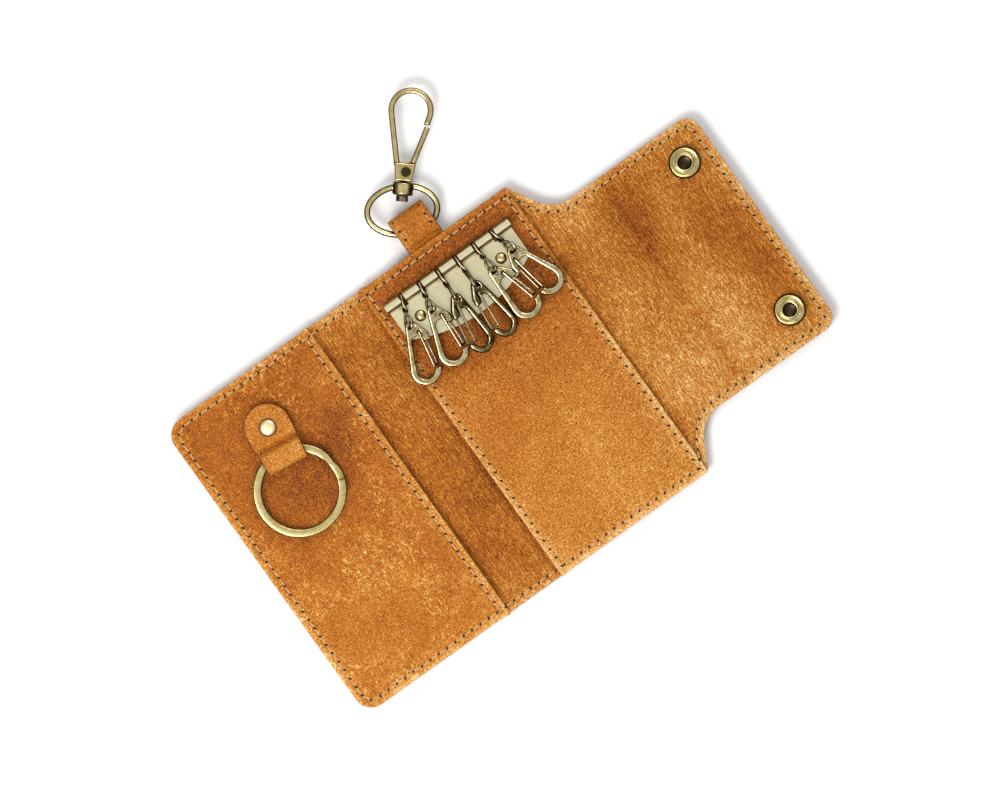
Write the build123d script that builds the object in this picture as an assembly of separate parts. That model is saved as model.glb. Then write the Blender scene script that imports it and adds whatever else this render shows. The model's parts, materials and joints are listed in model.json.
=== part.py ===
from build123d import *
import os
from math import atan2, cos, degrees, hypot, radians

# Tri-fold leather key organiser, lying open. Millimetres. The origin is the middle of the
# centre panel's outer face; +X runs towards the snap flap, +Y towards the hook rail and
# the swivel clip, +Z out of the inside face.

# ---------------------------------------------------------------- leather body
COVER_T = 1.2
LINING_T = 1.0
POCKET_T = 1.2
INNER_Z = COVER_T + LINING_T  # inside face of the lining, where the leather bends
POCKET_TOP = INNER_Z + POCKET_T

LEFT_X = -105.7
RIGHT_X = 90.8
HALF_Y = 56.0
FLAP_Y = 41.0
SHOULDER_X = 28.8
NECK_X = 37.1
CORNER_R = 6.0
FLAP_CORNER_R = 5.0
SHOULDER_R = 1.5
NECK_R = 11.0

FOLD_1 = -47.9  # left panel to left spine
FOLD_2 = -29.1  # left spine to centre panel
FOLD_3 = 30.0  # centre panel to right spine
FOLD_4 = 55.1  # right spine to flap
FOLD_GAP = 0.3

# ---------------------------------------------------------------- pockets
CARD_EDGE_X = -49.2
CENTRE_EDGE_X = 28.8
SLOT_H = 0.9  # room for cards between lining and pocket
SLOT_MARGIN = 4.5
PAD_MARGIN = 3.2
PAD_TAPER = 55
CENTRE_SLOT_TOP_Y = 11.0

# ---------------------------------------------------------------- snaps
SNAP_X = 80.1
SNAP_Y = 29.0
SPINE_LEAN = 60  # how far the left spine stands up when the case is closed
CLOSED_SNAP_X = FOLD_3 + FOLD_4 - SNAP_X
CLOSED_FOLD_X = FOLD_2 - (FOLD_2 - FOLD_1) * cos(radians(SPINE_LEAN))
STUD_X = FOLD_1 + CLOSED_FOLD_X - CLOSED_SNAP_X  # comes under the socket when closed
SOCKET_R = 5.25
SOCKET_H = 2.4
SOCKET_HOLE_R = 2.25
SPRING_WIRE_R = 0.2
CAP_R = 6.2
CAP_H = 1.5
EYELET_R = 1.9
STUD_FLANGE_R = 4.5
STUD_FLANGE_T = 0.6
STUD_HEAD_R = 2.0
STUD_H = 2.6
POST_R = 1.2
POST_FLANGE_R = 4.0
POST_FLANGE_T = 0.5
POST_DEPTH = STUD_H - 0.5  # how far the post reaches into the stud
EYELET_RIM = 0.25

# ---------------------------------------------------------------- key ring on its tab
TAB_RIVET = (-78.0, 37.4)
TAB_LEAN = -6.66  # the tab hangs a little to the left
TAB_R = 7.7
TAB_W = 13.7
TAB_LENGTH = 14.0
TAB_T = 1.1
TAB_FOLD_T = 0.8
TAB_BASE_Z = INNER_Z + SLOT_H + POCKET_T
TAB_TOP_Z = TAB_BASE_Z + 2 * POCKET_T
TAB_HINGE_Y = -6.0
TAB_LOOP_GAP = 2.9
RIVET_R = 2.95
RIVET_H = 1.1
SPLIT_R = 15.0
SPLIT_W = 2.6
SPLIT_COIL_T = 1.15
SPLIT_COIL_GAP = 0.1
SPLIT_CENTRE = (-81.4, 15.0)
SPLIT_TILT = 2.0
SPLIT_MID_Z = TAB_BASE_Z + 1.0 + TAB_LOOP_GAP / 2

# ---------------------------------------------------------------- hook rail
RAIL_X1 = -25.4
RAIL_X2 = 23.3
TUBE_Y = 46.15
TUBE_Z = POCKET_TOP + 2.0
TUBE_R = 1.75
TUBE_BORE_R = 1.0
ROD_R = 0.95
PLATE_T = 0.8
PLATE_TOP = POCKET_TOP + PLATE_T
PLATE_INSET = 0.5
PLATE_SIDE_Y = 33.9
PLATE_LOW_Y = 27.6
SLOT_XS = (-18.97, -11.82, -4.67, 2.48, 9.63, 16.78)
SLOT_W = 1.7
SLOT_LOW_Y = 43.4
RAIL_RIVETS = ((-17.3, 38.2), (14.4, 38.2))
RAIL_RIVET_R = 1.9
RAIL_RIVET_H = 0.7
RAIL_RIVET_SHAFT_R = 0.9
RAIL_RIVET_FLANGE_T = 0.5

# ---------------------------------------------------------------- hooks, in their own plane
HOOK_LENGTH = 19.3  # eye centre to bottom
HOOK_BOTTOM_R = 5.0
HOOK_BAR = 2.1
HOOK_T = 1.5
EYE_R = 2.15
EYE_HOLE_R = 1.1
EYE_MID_R = (EYE_R + EYE_HOLE_R) / 2
CHEEK = (2.2, -3.7, 2.4)
WINDOW_TOP = (0.35, -5.0, 1.9)
STUB_END_Y = -5.3
NOSE_TIP_Y = -14.7
HOOK_EDGE = 0.45
GATE_WIRE_R = 0.4
GATE_PIVOT = (1.75, -1.95)
GATE_HOLE_R = 0.46
GATE_OFFSET = HOOK_T / 2 + 0.1 + GATE_WIRE_R
GATE_FRONT = (2.9, -13.8)
GATE_REAR_KNEE = (3.2, -5.3)
GATE_REAR = (4.2, -13.8)

# Eye x and y, bottom x and y, twist about the long axis, gate side (+1 right, -1 left).
HOOKS = (
    (-21.9, 36.7, -27.5, 17.9, 0.0, 1),
    (-13.1, 36.9, -16.3, 17.5, 0.0, 1),
    (-4.9, 35.6, -6.35, 16.1, 33.0, -1),
    (2.85, 35.4, 3.2, 15.8, 33.0, -1),
    (10.2, 35.7, 13.5, 16.1, 0.0, 1),
    (18.9, 37.6, 24.3, 19.0, 0.0, -1),
)
FLAT_EYE_Z = 6.9
TWISTED_EYE_Z = 7.5
FLAT_PITCH = 4.0
TWISTED_PITCH = 0.0

# ---------------------------------------------------------------- links
LINK_WIRE_R = 0.45
LINK_EYE_MID_R = 1.75
LINK_TOP_R = 1.87
LINK_TOP_HOLE_R = 1.03
LINK_TOP_T = 1.1
LINK_APEX = 3.1
LINK_NECK_R = 0.6

# ---------------------------------------------------------------- clip strap and ring
STRAP_X1 = -8.8
STRAP_X2 = 4.4
STRAP_T = 1.0
STRAP_END_Y = 68.6
STRAP_GAP = 3.8
STRAP_TAIL_Y = 45.0
STRAP_Z = 2.6
RING_CENTRE = (-2.5, 69.1)
RING_A = 11.3
RING_B = 7.8
RING_TILT = -28.5
RING_WIRE_R = 1.0

# ---------------------------------------------------------------- swivel clip, along its axis
CLIP_ORIGIN = (1.7, 74.6)
CLIP_AXIS = 40.5  # from +Y towards +X
COLLAR_R = 3.3
COLLAR_L = 4.2
PIN_R = 1.2
PIN_BORE_R = 1.25
PIN_HEAD_R = 1.95
PIN_HEAD_L = 2.0
BLOCK_Y1 = 2.35
BLOCK_Y2 = 8.3
BLOCK_W1 = 5.2
BLOCK_W2 = 7.0
CLIP_T = 4.0
CLIP_SLOT = 1.9
CLIP_BAR_T = 2.4
CLIP_BAR_W = 1.85
CLIP_LOOP = (0.4, 25.3)
CLIP_LOOP_R = 7.25
CLIP_NOSE_Y = 21.0
CLIP_PIVOT = (0.5, 5.4)
CLIP_PIVOT_R = 0.8
CLIP_PIVOT_HEAD_R = 1.55
CLIP_PIVOT_HEAD_H = 0.3
CLIP_GATE_W = 1.75
CLIP_GATE_T = 1.1
CLIP_GATE_FOOT = (2.55, 8.6)
CLIP_GATE_TIP = (6.12, 20.25)
CLIP_SPRING_R = 1.5
CLIP_SPRING_T = 0.6

os.makedirs("parts", exist_ok=True)


def save(name, *solids):
    """Write one node, as one solid or a group of separate solids."""
    shape = solids[0] if len(solids) == 1 else Compound(children=list(solids))
    export_step(shape, f"parts/{name}.step")


def prism(sketch, z_low, z_high):
    return Pos(0, 0, z_low) * extrude(sketch, z_high - z_low)


def disc(x, y, radius, z_low, z_high):
    return prism(Pos(x, y) * Circle(radius), z_low, z_high)


def block(x1, x2, y1, y2, z1, z2):
    middle = Pos((x1 + x2) / 2, (y1 + y2) / 2, (z1 + z2) / 2)
    return middle * Box(x2 - x1, y2 - y1, z2 - z1)


def area(x1, x2, y1, y2):
    return Pos((x1 + x2) / 2, (y1 + y2) / 2) * Rectangle(x2 - x1, y2 - y1)


def hull(*circles):
    """Plane shape wrapped round circles given as (x, y, radius)."""
    edges = []
    for x, y, radius in circles:
        edges += (Pos(x, y) * Circle(radius)).edges()
    return make_hull(edges)


def rod(start, end, radius):
    """Round bar between two points."""
    start, end = Vector(*start), Vector(*end)
    run = end - start
    return Plane(origin=start, z_dir=run) * Cylinder(
        radius, run.length, align=(Align.CENTER, Align.CENTER, Align.MIN)
    )


def wire_path(points, radius):
    """Bent wire: round bars with a ball at every bend."""
    shape = rod(points[0], points[1], radius)
    for start, end in zip(points[1:], points[2:]):
        shape += Pos(*start) * Sphere(radius)
        shape += rod(start, end, radius)
    return shape


# ---------------------------------------------------------------- leather panels
def body_outline():
    """Outline of the whole open case: a wide body, then a narrower flap."""
    lower = [
        (LEFT_X, -HALF_Y),
        (SHOULDER_X, -HALF_Y),
        (NECK_X, -FLAP_Y),
        (RIGHT_X, -FLAP_Y),
    ]
    upper = [(x, -y) for x, y in reversed(lower)]
    outline = make_face(Polyline(*lower, *upper, close=True))
    for x, radius in (
        (LEFT_X, CORNER_R),
        (RIGHT_X, FLAP_CORNER_R),
        (SHOULDER_X, SHOULDER_R),
        (NECK_X, NECK_R),
    ):
        corners = [v for v in outline.vertices() if abs(v.X - x) < 0.01]
        outline = fillet(corners, radius)
    return outline


PANELS = {
    "left_panel": (LEFT_X - 1, FOLD_1 - FOLD_GAP / 2),
    "left_spine": (FOLD_1 + FOLD_GAP / 2, FOLD_2 - FOLD_GAP / 2),
    "centre_panel": (FOLD_2 + FOLD_GAP / 2, FOLD_3 - FOLD_GAP / 2),
    "right_spine": (FOLD_3 + FOLD_GAP / 2, FOLD_4 - FOLD_GAP / 2),
    "flap": (FOLD_4 + FOLD_GAP / 2, RIGHT_X + 1),
}


def leather_panels(outline):
    """Cover and lining, each split where the leather bends, with holes for fittings."""
    holes = {
        "left_panel": [(STUD_X, y, POST_R) for y in (-SNAP_Y, SNAP_Y)],
        "flap": [(SNAP_X, y, EYELET_R) for y in (-SNAP_Y, SNAP_Y)],
    }
    notch = area(STRAP_X1 - 0.05, STRAP_X2 + 0.05, STRAP_TAIL_Y - 0.05, HALF_Y + 1)
    for name, (x1, x2) in PANELS.items():
        shape = outline & area(x1, x2, -HALF_Y - 1, HALF_Y + 1)
        for x, y, radius in holes.get(name, ()):
            shape -= Pos(x, y) * Circle(radius)
        save(f"cover_{name}", prism(shape, 0, COVER_T))
        lining = prism(shape, COVER_T, INNER_Z)
        if name == "centre_panel":
            lining -= prism(notch, COVER_T, INNER_Z)
            for x, y in RAIL_RIVETS:
                flange_low = INNER_Z - RAIL_RIVET_FLANGE_T
                lining -= disc(x, y, RAIL_RIVET_R, flange_low, INNER_Z)
        save(f"lining_{name}", lining)


def pocket(outline, x1, x2, slot, pad):
    """Pocket panel: flat border, raised over the card slot that is open at one edge."""
    shape = prism(outline & area(x1, x2, -HALF_Y - 1, HALF_Y + 1), INNER_Z, POCKET_TOP)
    raised = extrude(area(*pad), SLOT_H, taper=PAD_TAPER)
    shape += (Pos(0, 0, POCKET_TOP) * raised) & block(x1, x2, *pad[2:], 0, 9)
    return shape - prism(area(*slot), INNER_Z, INNER_Z + SLOT_H)


def pockets(outline):
    half = HALF_Y - SLOT_MARGIN
    pad_half = HALF_Y - PAD_MARGIN
    card = pocket(
        outline,
        LEFT_X,
        CARD_EDGE_X,
        (LEFT_X + SLOT_MARGIN, CARD_EDGE_X + 1, -half, half),
        (LEFT_X + PAD_MARGIN, CARD_EDGE_X + 9, -pad_half, pad_half),
    )
    card -= disc(*TAB_RIVET, POST_R, INNER_Z, TAB_BASE_Z + 1)
    save("card_pocket", card)
    centre = pocket(
        outline,
        -CENTRE_EDGE_X,
        CENTRE_EDGE_X,
        (-CENTRE_EDGE_X - 1, CENTRE_EDGE_X - SLOT_MARGIN, -half, CENTRE_SLOT_TOP_Y),
        (-CENTRE_EDGE_X - 9, CENTRE_EDGE_X - PAD_MARGIN, -pad_half, CENTRE_SLOT_TOP_Y + 1.5),
    )
    for x, y in RAIL_RIVETS:
        centre -= disc(x, y, RAIL_RIVET_SHAFT_R, INNER_Z, POCKET_TOP)
    save("centre_pocket", centre)


# ---------------------------------------------------------------- snap fasteners
def dome(radius, height, z_base, up=1):
    """Shallow round cap on a flat face, rising or, with up -1, hanging."""
    sphere_r = (radius**2 + height**2) / (2 * height)
    cap = Pos(0, 0, height - sphere_r) * Sphere(sphere_r)
    cap &= Cylinder(radius + 1, height, align=(Align.CENTER, Align.CENTER, Align.MIN))
    if up < 0:
        cap = mirror(cap, about=Plane.XY)
    return Pos(0, 0, z_base) * cap


def snap_socket():
    base = disc(0, 0, SOCKET_R, INNER_Z, INNER_Z + 1.0)
    shoulder = disc(0, 0, SOCKET_R - 0.9, INNER_Z + 1.0, INNER_Z + SOCKET_H)
    shoulder = chamfer(shoulder.edges().group_by(Axis.Z)[-1], 0.5)
    socket = base + shoulder
    socket -= disc(0, 0, SOCKET_HOLE_R, INNER_Z + 0.3, INNER_Z + SOCKET_H)
    socket -= disc(0, 0, EYELET_R, INNER_Z, INNER_Z + 0.3)
    groove_z = INNER_Z + SOCKET_H - 0.9
    socket -= disc(0, 0, SOCKET_HOLE_R + 0.45, groove_z - 0.3, groove_z + 0.3)
    return socket


def snap_spring():
    """Split wire ring that lies in the socket's groove."""
    ring = Torus(SOCKET_HOLE_R + SPRING_WIRE_R, SPRING_WIRE_R)
    ring -= block(0, 4, -0.4, 0.4, -1, 1)
    return Pos(0, 0, INNER_Z + SOCKET_H - 0.9) * ring


def snap_cap():
    top = INNER_Z + EYELET_RIM
    eyelet = disc(0, 0, EYELET_R, -EYELET_RIM, top)
    eyelet -= disc(0, 0, EYELET_R - 0.5, EYELET_RIM, top)
    return dome(CAP_R, CAP_H, 0, -1) + eyelet


def snap_stud():
    stud = disc(0, 0, STUD_FLANGE_R, -STUD_FLANGE_T, 0)
    stud += disc(0, 0, STUD_HEAD_R - 0.3, -STUD_H, -STUD_FLANGE_T)
    head = disc(0, 0, STUD_HEAD_R, -STUD_H, -STUD_H + 1.1)
    stud += chamfer(head.edges(), 0.3)
    return stud - disc(0, 0, POST_R, -POST_DEPTH, 0)


def snap_post():
    shaft = disc(0, 0, POST_R, -POST_DEPTH, INNER_Z)
    return shaft + disc(0, 0, POST_FLANGE_R, INNER_Z, INNER_Z + POST_FLANGE_T)


def snaps():
    on_flap = [Pos(SNAP_X, y) for y in (-SNAP_Y, SNAP_Y)]
    on_panel = [Pos(STUD_X, y) for y in (-SNAP_Y, SNAP_Y)]
    save("snap_sockets", *[place * snap_socket() for place in on_flap])
    save("snap_socket_springs", *[place * snap_spring() for place in on_flap])
    save("snap_caps", *[place * snap_cap() for place in on_flap])
    save("snap_studs", *[place * snap_stud() for place in on_panel])
    save("snap_stud_posts", *[place * snap_post() for place in on_panel])


# ---------------------------------------------------------------- key ring and tab
def tab_frame():
    """Place of the tab: origin at its rivet, local -Y towards the folded end."""
    return Pos(*TAB_RIVET, 0) * Rot(0, 0, TAB_LEAN)


def tab_plan():
    half = TAB_W / 2
    corner = 0.8
    end_y = -TAB_LENGTH + corner
    return hull(
        (0, 0, TAB_R),
        (-half + corner, end_y, corner),
        (half - corner, end_y, corner),
    )


def tab_pieces():
    """Riveted end, fixed to the card pocket, and the loop that bends up from it."""
    plan = tab_plan()
    reach = TAB_R + 1
    anchor_area = area(-reach, reach, TAB_HINGE_Y + FOLD_GAP / 2, reach)
    anchor = prism(plan & anchor_area, TAB_BASE_Z, TAB_TOP_Z)
    anchor -= disc(0, 0, POST_R, TAB_BASE_Z, TAB_TOP_Z)
    save("key_ring_tab_end", tab_frame() * anchor)

    gap_low = SPLIT_MID_Z - TAB_LOOP_GAP / 2
    gap_high = SPLIT_MID_Z + TAB_LOOP_GAP / 2
    top = gap_high + TAB_T
    start_y = TAB_HINGE_Y - FOLD_GAP / 2
    side = make_face(
        Polyline(
            (start_y, TAB_BASE_Z),
            (start_y, TAB_TOP_Z),
            (start_y - 1.45, top),
            (-TAB_LENGTH, top),
            (-TAB_LENGTH, TAB_BASE_Z),
            close=True,
        )
    )
    end_corners = [v for v in side.vertices() if v.X < -TAB_LENGTH + 0.01]
    side = fillet(end_corners, 1.2)
    hole_end = -TAB_LENGTH + TAB_FOLD_T
    hole = make_face(
        Polyline(
            (start_y - 1.0, gap_low),
            (start_y - 1.3, gap_high),
            (hole_end, gap_high),
            (hole_end, gap_low),
            close=True,
        )
    )
    hole_corners = [v for v in hole.vertices() if v.X < hole_end + 0.01]
    hole = fillet(hole_corners, 0.5)
    section = Plane(origin=(0, 0, 0), x_dir=(0, 1, 0), z_dir=(1, 0, 0)) * (side - hole)
    loop = extrude(section, reach, both=True) & prism(plan, 0, top + 1)
    save("key_ring_tab", tab_frame() * loop)


def split_ring():
    """Flat wire wound twice: two open coils joined by a short ramp."""
    inner = SPLIT_R - SPLIT_W
    half_gap = SPLIT_COIL_GAP / 2
    coil = Circle(SPLIT_R) - Circle(inner)
    slit = Rot(0, 0, -25) * area(0, SPLIT_R + 1, -0.35, 0.35)
    lower_slit = Rot(0, 0, -3) * area(0, SPLIT_R + 1, -0.35, 0.35)
    upper = prism(coil - slit, half_gap, half_gap + SPLIT_COIL_T)
    lower = prism(coil - lower_slit, -half_gap - SPLIT_COIL_T, -half_gap)
    ramp = Rot(0, 0, -14) * area(inner + 0.01, SPLIT_R - 0.01, -2.2, 2.2)
    ring = upper + lower + prism(ramp & coil, -half_gap, half_gap)
    band_y = SPLIT_R - SPLIT_W / 2
    place = Pos(*SPLIT_CENTRE, SPLIT_MID_Z) * Pos(0, band_y, 0) * Rot(SPLIT_TILT, 0, 0)
    return place * Pos(0, -band_y, 0) * ring


def key_ring():
    tab_pieces()
    save("split_key_ring", split_ring())
    cap = dome(RIVET_R, RIVET_H, TAB_TOP_Z)
    flange_z = TAB_BASE_Z - POCKET_T
    post = disc(0, 0, POST_R, flange_z - POST_FLANGE_T, TAB_TOP_Z)
    post += disc(0, 0, POST_FLANGE_R, flange_z - POST_FLANGE_T, flange_z)
    save("tab_rivet_cap", Pos(*TAB_RIVET, 0) * cap)
    save("tab_rivet_post", Pos(*TAB_RIVET, 0) * post)


# ---------------------------------------------------------------- hook rail
def hook_rail():
    left = RAIL_X1 + PLATE_INSET
    right = RAIL_X2 - PLATE_INSET
    middle = (RAIL_X1 + RAIL_X2) / 2
    sides = Polyline(
        (left, PLATE_SIDE_Y), (left, TUBE_Y), (right, TUBE_Y), (right, PLATE_SIDE_Y)
    )
    bottom = ThreePointArc(
        (left, PLATE_SIDE_Y), (middle, PLATE_LOW_Y), (right, PLATE_SIDE_Y)
    )
    plate = prism(make_face(sides + bottom), POCKET_TOP, PLATE_TOP)
    plate = chamfer(plate.edges().group_by(Axis.Z)[-1].filter_by(GeomType.CIRCLE), 0.2)
    tube_ends = ((RAIL_X1, TUBE_Y, TUBE_Z), (RAIL_X2, TUBE_Y, TUBE_Z))
    rail = plate + rod(*tube_ends, TUBE_R) - rod(*tube_ends, TUBE_BORE_R)
    for x in SLOT_XS:
        rail -= block(x - SLOT_W / 2, x + SLOT_W / 2, SLOT_LOW_Y, TUBE_Y + 3, 0, 12)
    for x, y in RAIL_RIVETS:
        rail -= disc(x, y, RAIL_RIVET_SHAFT_R, POCKET_TOP, PLATE_TOP)
    save("hook_rail", rail)
    inset = 0.2
    ends = ((RAIL_X1 + inset, TUBE_Y, TUBE_Z), (RAIL_X2 - inset, TUBE_Y, TUBE_Z))
    save("rail_rod", rod(*ends, ROD_R))
    rivet = disc(0, 0, RAIL_RIVET_SHAFT_R, INNER_Z, PLATE_TOP)
    rivet += dome(RAIL_RIVET_R, RAIL_RIVET_H, PLATE_TOP)
    rivet += disc(0, 0, RAIL_RIVET_R, INNER_Z - RAIL_RIVET_FLANGE_T, INNER_Z)
    save("rail_rivets", *[Pos(x, y) * rivet for x, y in RAIL_RIVETS])


# ---------------------------------------------------------------- key hooks
def hook_shape():
    """Cast pear-shaped loop with an eye and an open side, gate to the right."""
    bottom_y = HOOK_BOTTOM_R - HOOK_LENGTH
    outer = hull((0, 0, EYE_R), CHEEK, (0, bottom_y, HOOK_BOTTOM_R))
    window = hull(WINDOW_TOP, (0, bottom_y, HOOK_BOTTOM_R - HOOK_BAR))
    gap = area(0.8, 2 * HOOK_BOTTOM_R, NOSE_TIP_Y, STUB_END_Y)
    plan = outer - window - gap
    hook = extrude(plan, HOOK_T / 2, both=True)
    flat_edges = hook.edges().filter_by(lambda e: abs(abs(e.center().Z) - HOOK_T / 2) < 1e-4)
    hook = fillet(flat_edges, HOOK_EDGE)
    hook -= Cylinder(EYE_HOLE_R, 2 * HOOK_T)
    return hook - Pos(*GATE_PIVOT) * Cylinder(GATE_HOLE_R, 2 * HOOK_T)


def gate_shape():
    """Wire gate: two legs from one pivot hole, one before and one behind the hook."""
    lift = GATE_OFFSET
    return wire_path(
        (
            (*GATE_PIVOT, 0.15),
            (*GATE_PIVOT, lift),
            (*GATE_FRONT, lift),
            (*GATE_REAR, -lift),
            (*GATE_REAR_KNEE, -lift),
            (*GATE_PIVOT, -lift),
            (*GATE_PIVOT, -0.15),
        ),
        GATE_WIRE_R,
    )


def hook_place(hook):
    """Hook frame in the world, and the point of its eye rim that the link holds."""
    eye_x, eye_y, low_x, low_y, twist, _ = hook
    lean = degrees(atan2(low_x - eye_x, eye_y - low_y))
    pitch = TWISTED_PITCH if twist else FLAT_PITCH
    eye_z = TWISTED_EYE_Z if twist else FLAT_EYE_Z
    place = Pos(eye_x, eye_y, eye_z) * Rot(0, 0, lean) * Rot(pitch, 0, 0) * Rot(0, twist, 0)
    frame = Plane(place)
    across, along = frame.x_dir, frame.y_dir
    rim = (along * across.X - across * along.X).normalized() * EYE_MID_R
    return place, Vector(eye_x, eye_y, eye_z) + rim


def link_shape(slot_x, held):
    """Link from the rail rod to a hook's eye: flat eye on the rod, neck, round eye."""
    reach = hypot(held.Y - TUBE_Y, held.Z - TUBE_Z)
    slope = degrees(atan2(held.Z - TUBE_Z, TUBE_Y - held.Y))
    top = hull((0, 0, LINK_TOP_R), (LINK_APEX, 0, LINK_NECK_R)) - Circle(LINK_TOP_HOLE_R)
    side_plane = Plane(origin=(slot_x, TUBE_Y, TUBE_Z), x_dir=(0, -1, 0), z_dir=(-1, 0, 0))
    top = side_plane * Rot(0, 0, slope) * extrude(top, LINK_TOP_T / 2, both=True)
    across = (held.X - slot_x, held.Y - TUBE_Y, held.Z - TUBE_Z)
    share = LINK_APEX / reach
    start = (slot_x, TUBE_Y + across[1] * share, TUBE_Z + across[2] * share)
    share = 1 - LINK_EYE_MID_R / reach
    end = (held.X, TUBE_Y + across[1] * share, TUBE_Z + across[2] * share)
    neck = rod(start, end, LINK_NECK_R) + Pos(*end) * Sphere(LINK_NECK_R)
    eye = Pos(*held) * Rot(0, 90, 0) * Torus(LINK_EYE_MID_R, LINK_WIRE_R)
    return top + neck + eye


def key_hooks():
    hook, gate = hook_shape(), gate_shape()
    left_hook, left_gate = mirror(hook, about=Plane.YZ), mirror(gate, about=Plane.YZ)
    for number, (slot_x, spec) in enumerate(zip(SLOT_XS, HOOKS), start=1):
        place, held = hook_place(spec)
        right = spec[5] > 0
        save(f"key_hook_{number}", place * (hook if right else left_hook))
        save(f"hook_gate_{number}", place * (gate if right else left_gate))
        save(f"hook_link_{number}", link_shape(slot_x, held))
        pivot = place * Pos(GATE_PIVOT[0] * spec[5], GATE_PIVOT[1], 0)
        normal = Plane(place).z_dir
        print("hook", number, "held at", held, "gate pivot", pivot.position, "axis", normal)


# ---------------------------------------------------------------- clip strap
def clip_strap():
    """Strap folded round the clip ring, its tail let in under the centre pocket."""
    half_gap = STRAP_GAP / 2
    half = half_gap + STRAP_T
    far_y = STRAP_END_Y - half
    near_y = HALF_Y + 4.6
    tail_low, tail_high = COVER_T, INNER_Z
    loop = hull((near_y, STRAP_Z, half), (far_y, STRAP_Z, half))
    loop -= area(0, near_y, -9, 9)
    root = make_face(
        Polyline(
            (near_y, STRAP_Z - half),
            (near_y, STRAP_Z + half),
            (HALF_Y + 0.6, tail_high),
            (STRAP_TAIL_Y, tail_high),
            (STRAP_TAIL_Y, tail_low),
            (HALF_Y + 0.6, tail_low),
            close=True,
        )
    )
    hole = hull((near_y, STRAP_Z, half_gap), (far_y, STRAP_Z, half_gap))
    section = loop + root - hole
    side = Plane(origin=(STRAP_X1, 0, 0), x_dir=(0, 1, 0), z_dir=(1, 0, 0))
    save("clip_strap", extrude(side * section, STRAP_X2 - STRAP_X1))


# ---------------------------------------------------------------- swivel clip
def clip_frame():
    """Clip frame: origin at the swivel collar, local +Y along the clip."""
    return Pos(*CLIP_ORIGIN, STRAP_Z) * Rot(0, 0, -CLIP_AXIS)


def along_y(radius, y1, y2):
    return rod((0, y1, 0), (0, y2, 0), radius)


def clip_ring():
    place = Pos(*RING_CENTRE, STRAP_Z) * Rot(0, 0, RING_TILT)
    path = Ellipse(RING_A, RING_B).edge()
    section = Plane(origin=path @ 0, z_dir=path % 0) * Circle(RING_WIRE_R)
    ring = place * sweep(section, path)
    collar = along_y(COLLAR_R, -COLLAR_L / 2, COLLAR_L / 2)
    collar = chamfer(collar.edges(), 0.4)
    ring += clip_frame() * collar
    ring -= clip_frame() * along_y(PIN_BORE_R, -COLLAR_L, COLLAR_L)
    return ring


def clip_block():
    half1, half2 = BLOCK_W1 / 2, BLOCK_W2 / 2
    plan = make_face(
        Polyline(
            (-half1, BLOCK_Y1),
            (half1, BLOCK_Y1),
            (half2, BLOCK_Y2),
            (-half2, BLOCK_Y2),
            close=True,
        )
    )
    plan = fillet(plan.vertices(), 0.5)
    body = extrude(plan, CLIP_T / 2, both=True)
    faces = body.edges().filter_by(lambda e: abs(abs(e.center().Z) - CLIP_T / 2) < 1e-4)
    body = chamfer(faces, 0.3)
    slot_low = BLOCK_Y1 + 1.2
    return body - block(-1.3, 9, slot_low, 12, -CLIP_SLOT / 2, CLIP_SLOT / 2)


def clip_hook():
    """Block, straight back bar, round loop and nose; the gate closes the right side."""
    loop_x, loop_y = CLIP_LOOP
    inner_r = CLIP_LOOP_R - CLIP_BAR_W
    low = (0, BLOCK_Y2 - 1.0)
    outer = hull((low[0], low[1], BLOCK_W2 / 2 - 0.1), (loop_x, loop_y, CLIP_LOOP_R))
    window = hull((low[0], low[1], BLOCK_W2 / 2 - 0.1 - CLIP_BAR_W), (loop_x, loop_y, inner_r))
    plan = outer - window
    plan -= area(-9, 9, -9, BLOCK_Y2 - 1.2)
    plan -= area(loop_x, 12, -9, CLIP_NOSE_Y)
    bar = extrude(plan, CLIP_BAR_T / 2, both=True)
    faces = bar.edges().filter_by(lambda e: abs(abs(e.center().Z) - CLIP_BAR_T / 2) < 1e-4)
    bar = chamfer(faces, 0.4)
    hook = clip_block() + bar
    hook -= Pos(*CLIP_PIVOT) * Cylinder(CLIP_PIVOT_R, 9)
    return hook - along_y(PIN_R, BLOCK_Y1 - 1, BLOCK_Y1 + 1)


def clip_gate():
    """Straight gate bar on a flat foot that turns between the block's cheeks."""
    foot_z = (CLIP_SLOT - CLIP_GATE_T) / 2 - 0.1
    foot = hull((*CLIP_PIVOT, 1.5), (*CLIP_GATE_FOOT, CLIP_GATE_W / 2))
    foot = Pos(0, 0, foot_z) * extrude(foot, CLIP_GATE_T / 2, both=True)
    foot -= Pos(*CLIP_PIVOT) * Cylinder(CLIP_PIVOT_R + 0.04, 9)
    lean = degrees(
        atan2(CLIP_GATE_TIP[0] - CLIP_GATE_FOOT[0], CLIP_GATE_TIP[1] - CLIP_GATE_FOOT[1])
    )
    length = hypot(
        CLIP_GATE_TIP[0] - CLIP_GATE_FOOT[0], CLIP_GATE_TIP[1] - CLIP_GATE_FOOT[1]
    )
    bar = Box(CLIP_GATE_W, length, CLIP_BAR_T)
    bar = chamfer(bar.edges().filter_by(Axis.Y), 0.4)
    middle_x = (CLIP_GATE_FOOT[0] + CLIP_GATE_TIP[0]) / 2
    middle_y = (CLIP_GATE_FOOT[1] + CLIP_GATE_TIP[1]) / 2
    return foot + Pos(middle_x, middle_y, 0) * Rot(0, 0, -lean) * bar


def clip_gate_pin():
    head_z = CLIP_T / 2
    pin = Pos(*CLIP_PIVOT) * Cylinder(CLIP_PIVOT_R, CLIP_T)
    for side in (-1, 1):
        middle_z = side * (head_z + CLIP_PIVOT_HEAD_H / 2)
        pin += Pos(*CLIP_PIVOT, middle_z) * Cylinder(CLIP_PIVOT_HEAD_R, CLIP_PIVOT_HEAD_H)
    return pin


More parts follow.
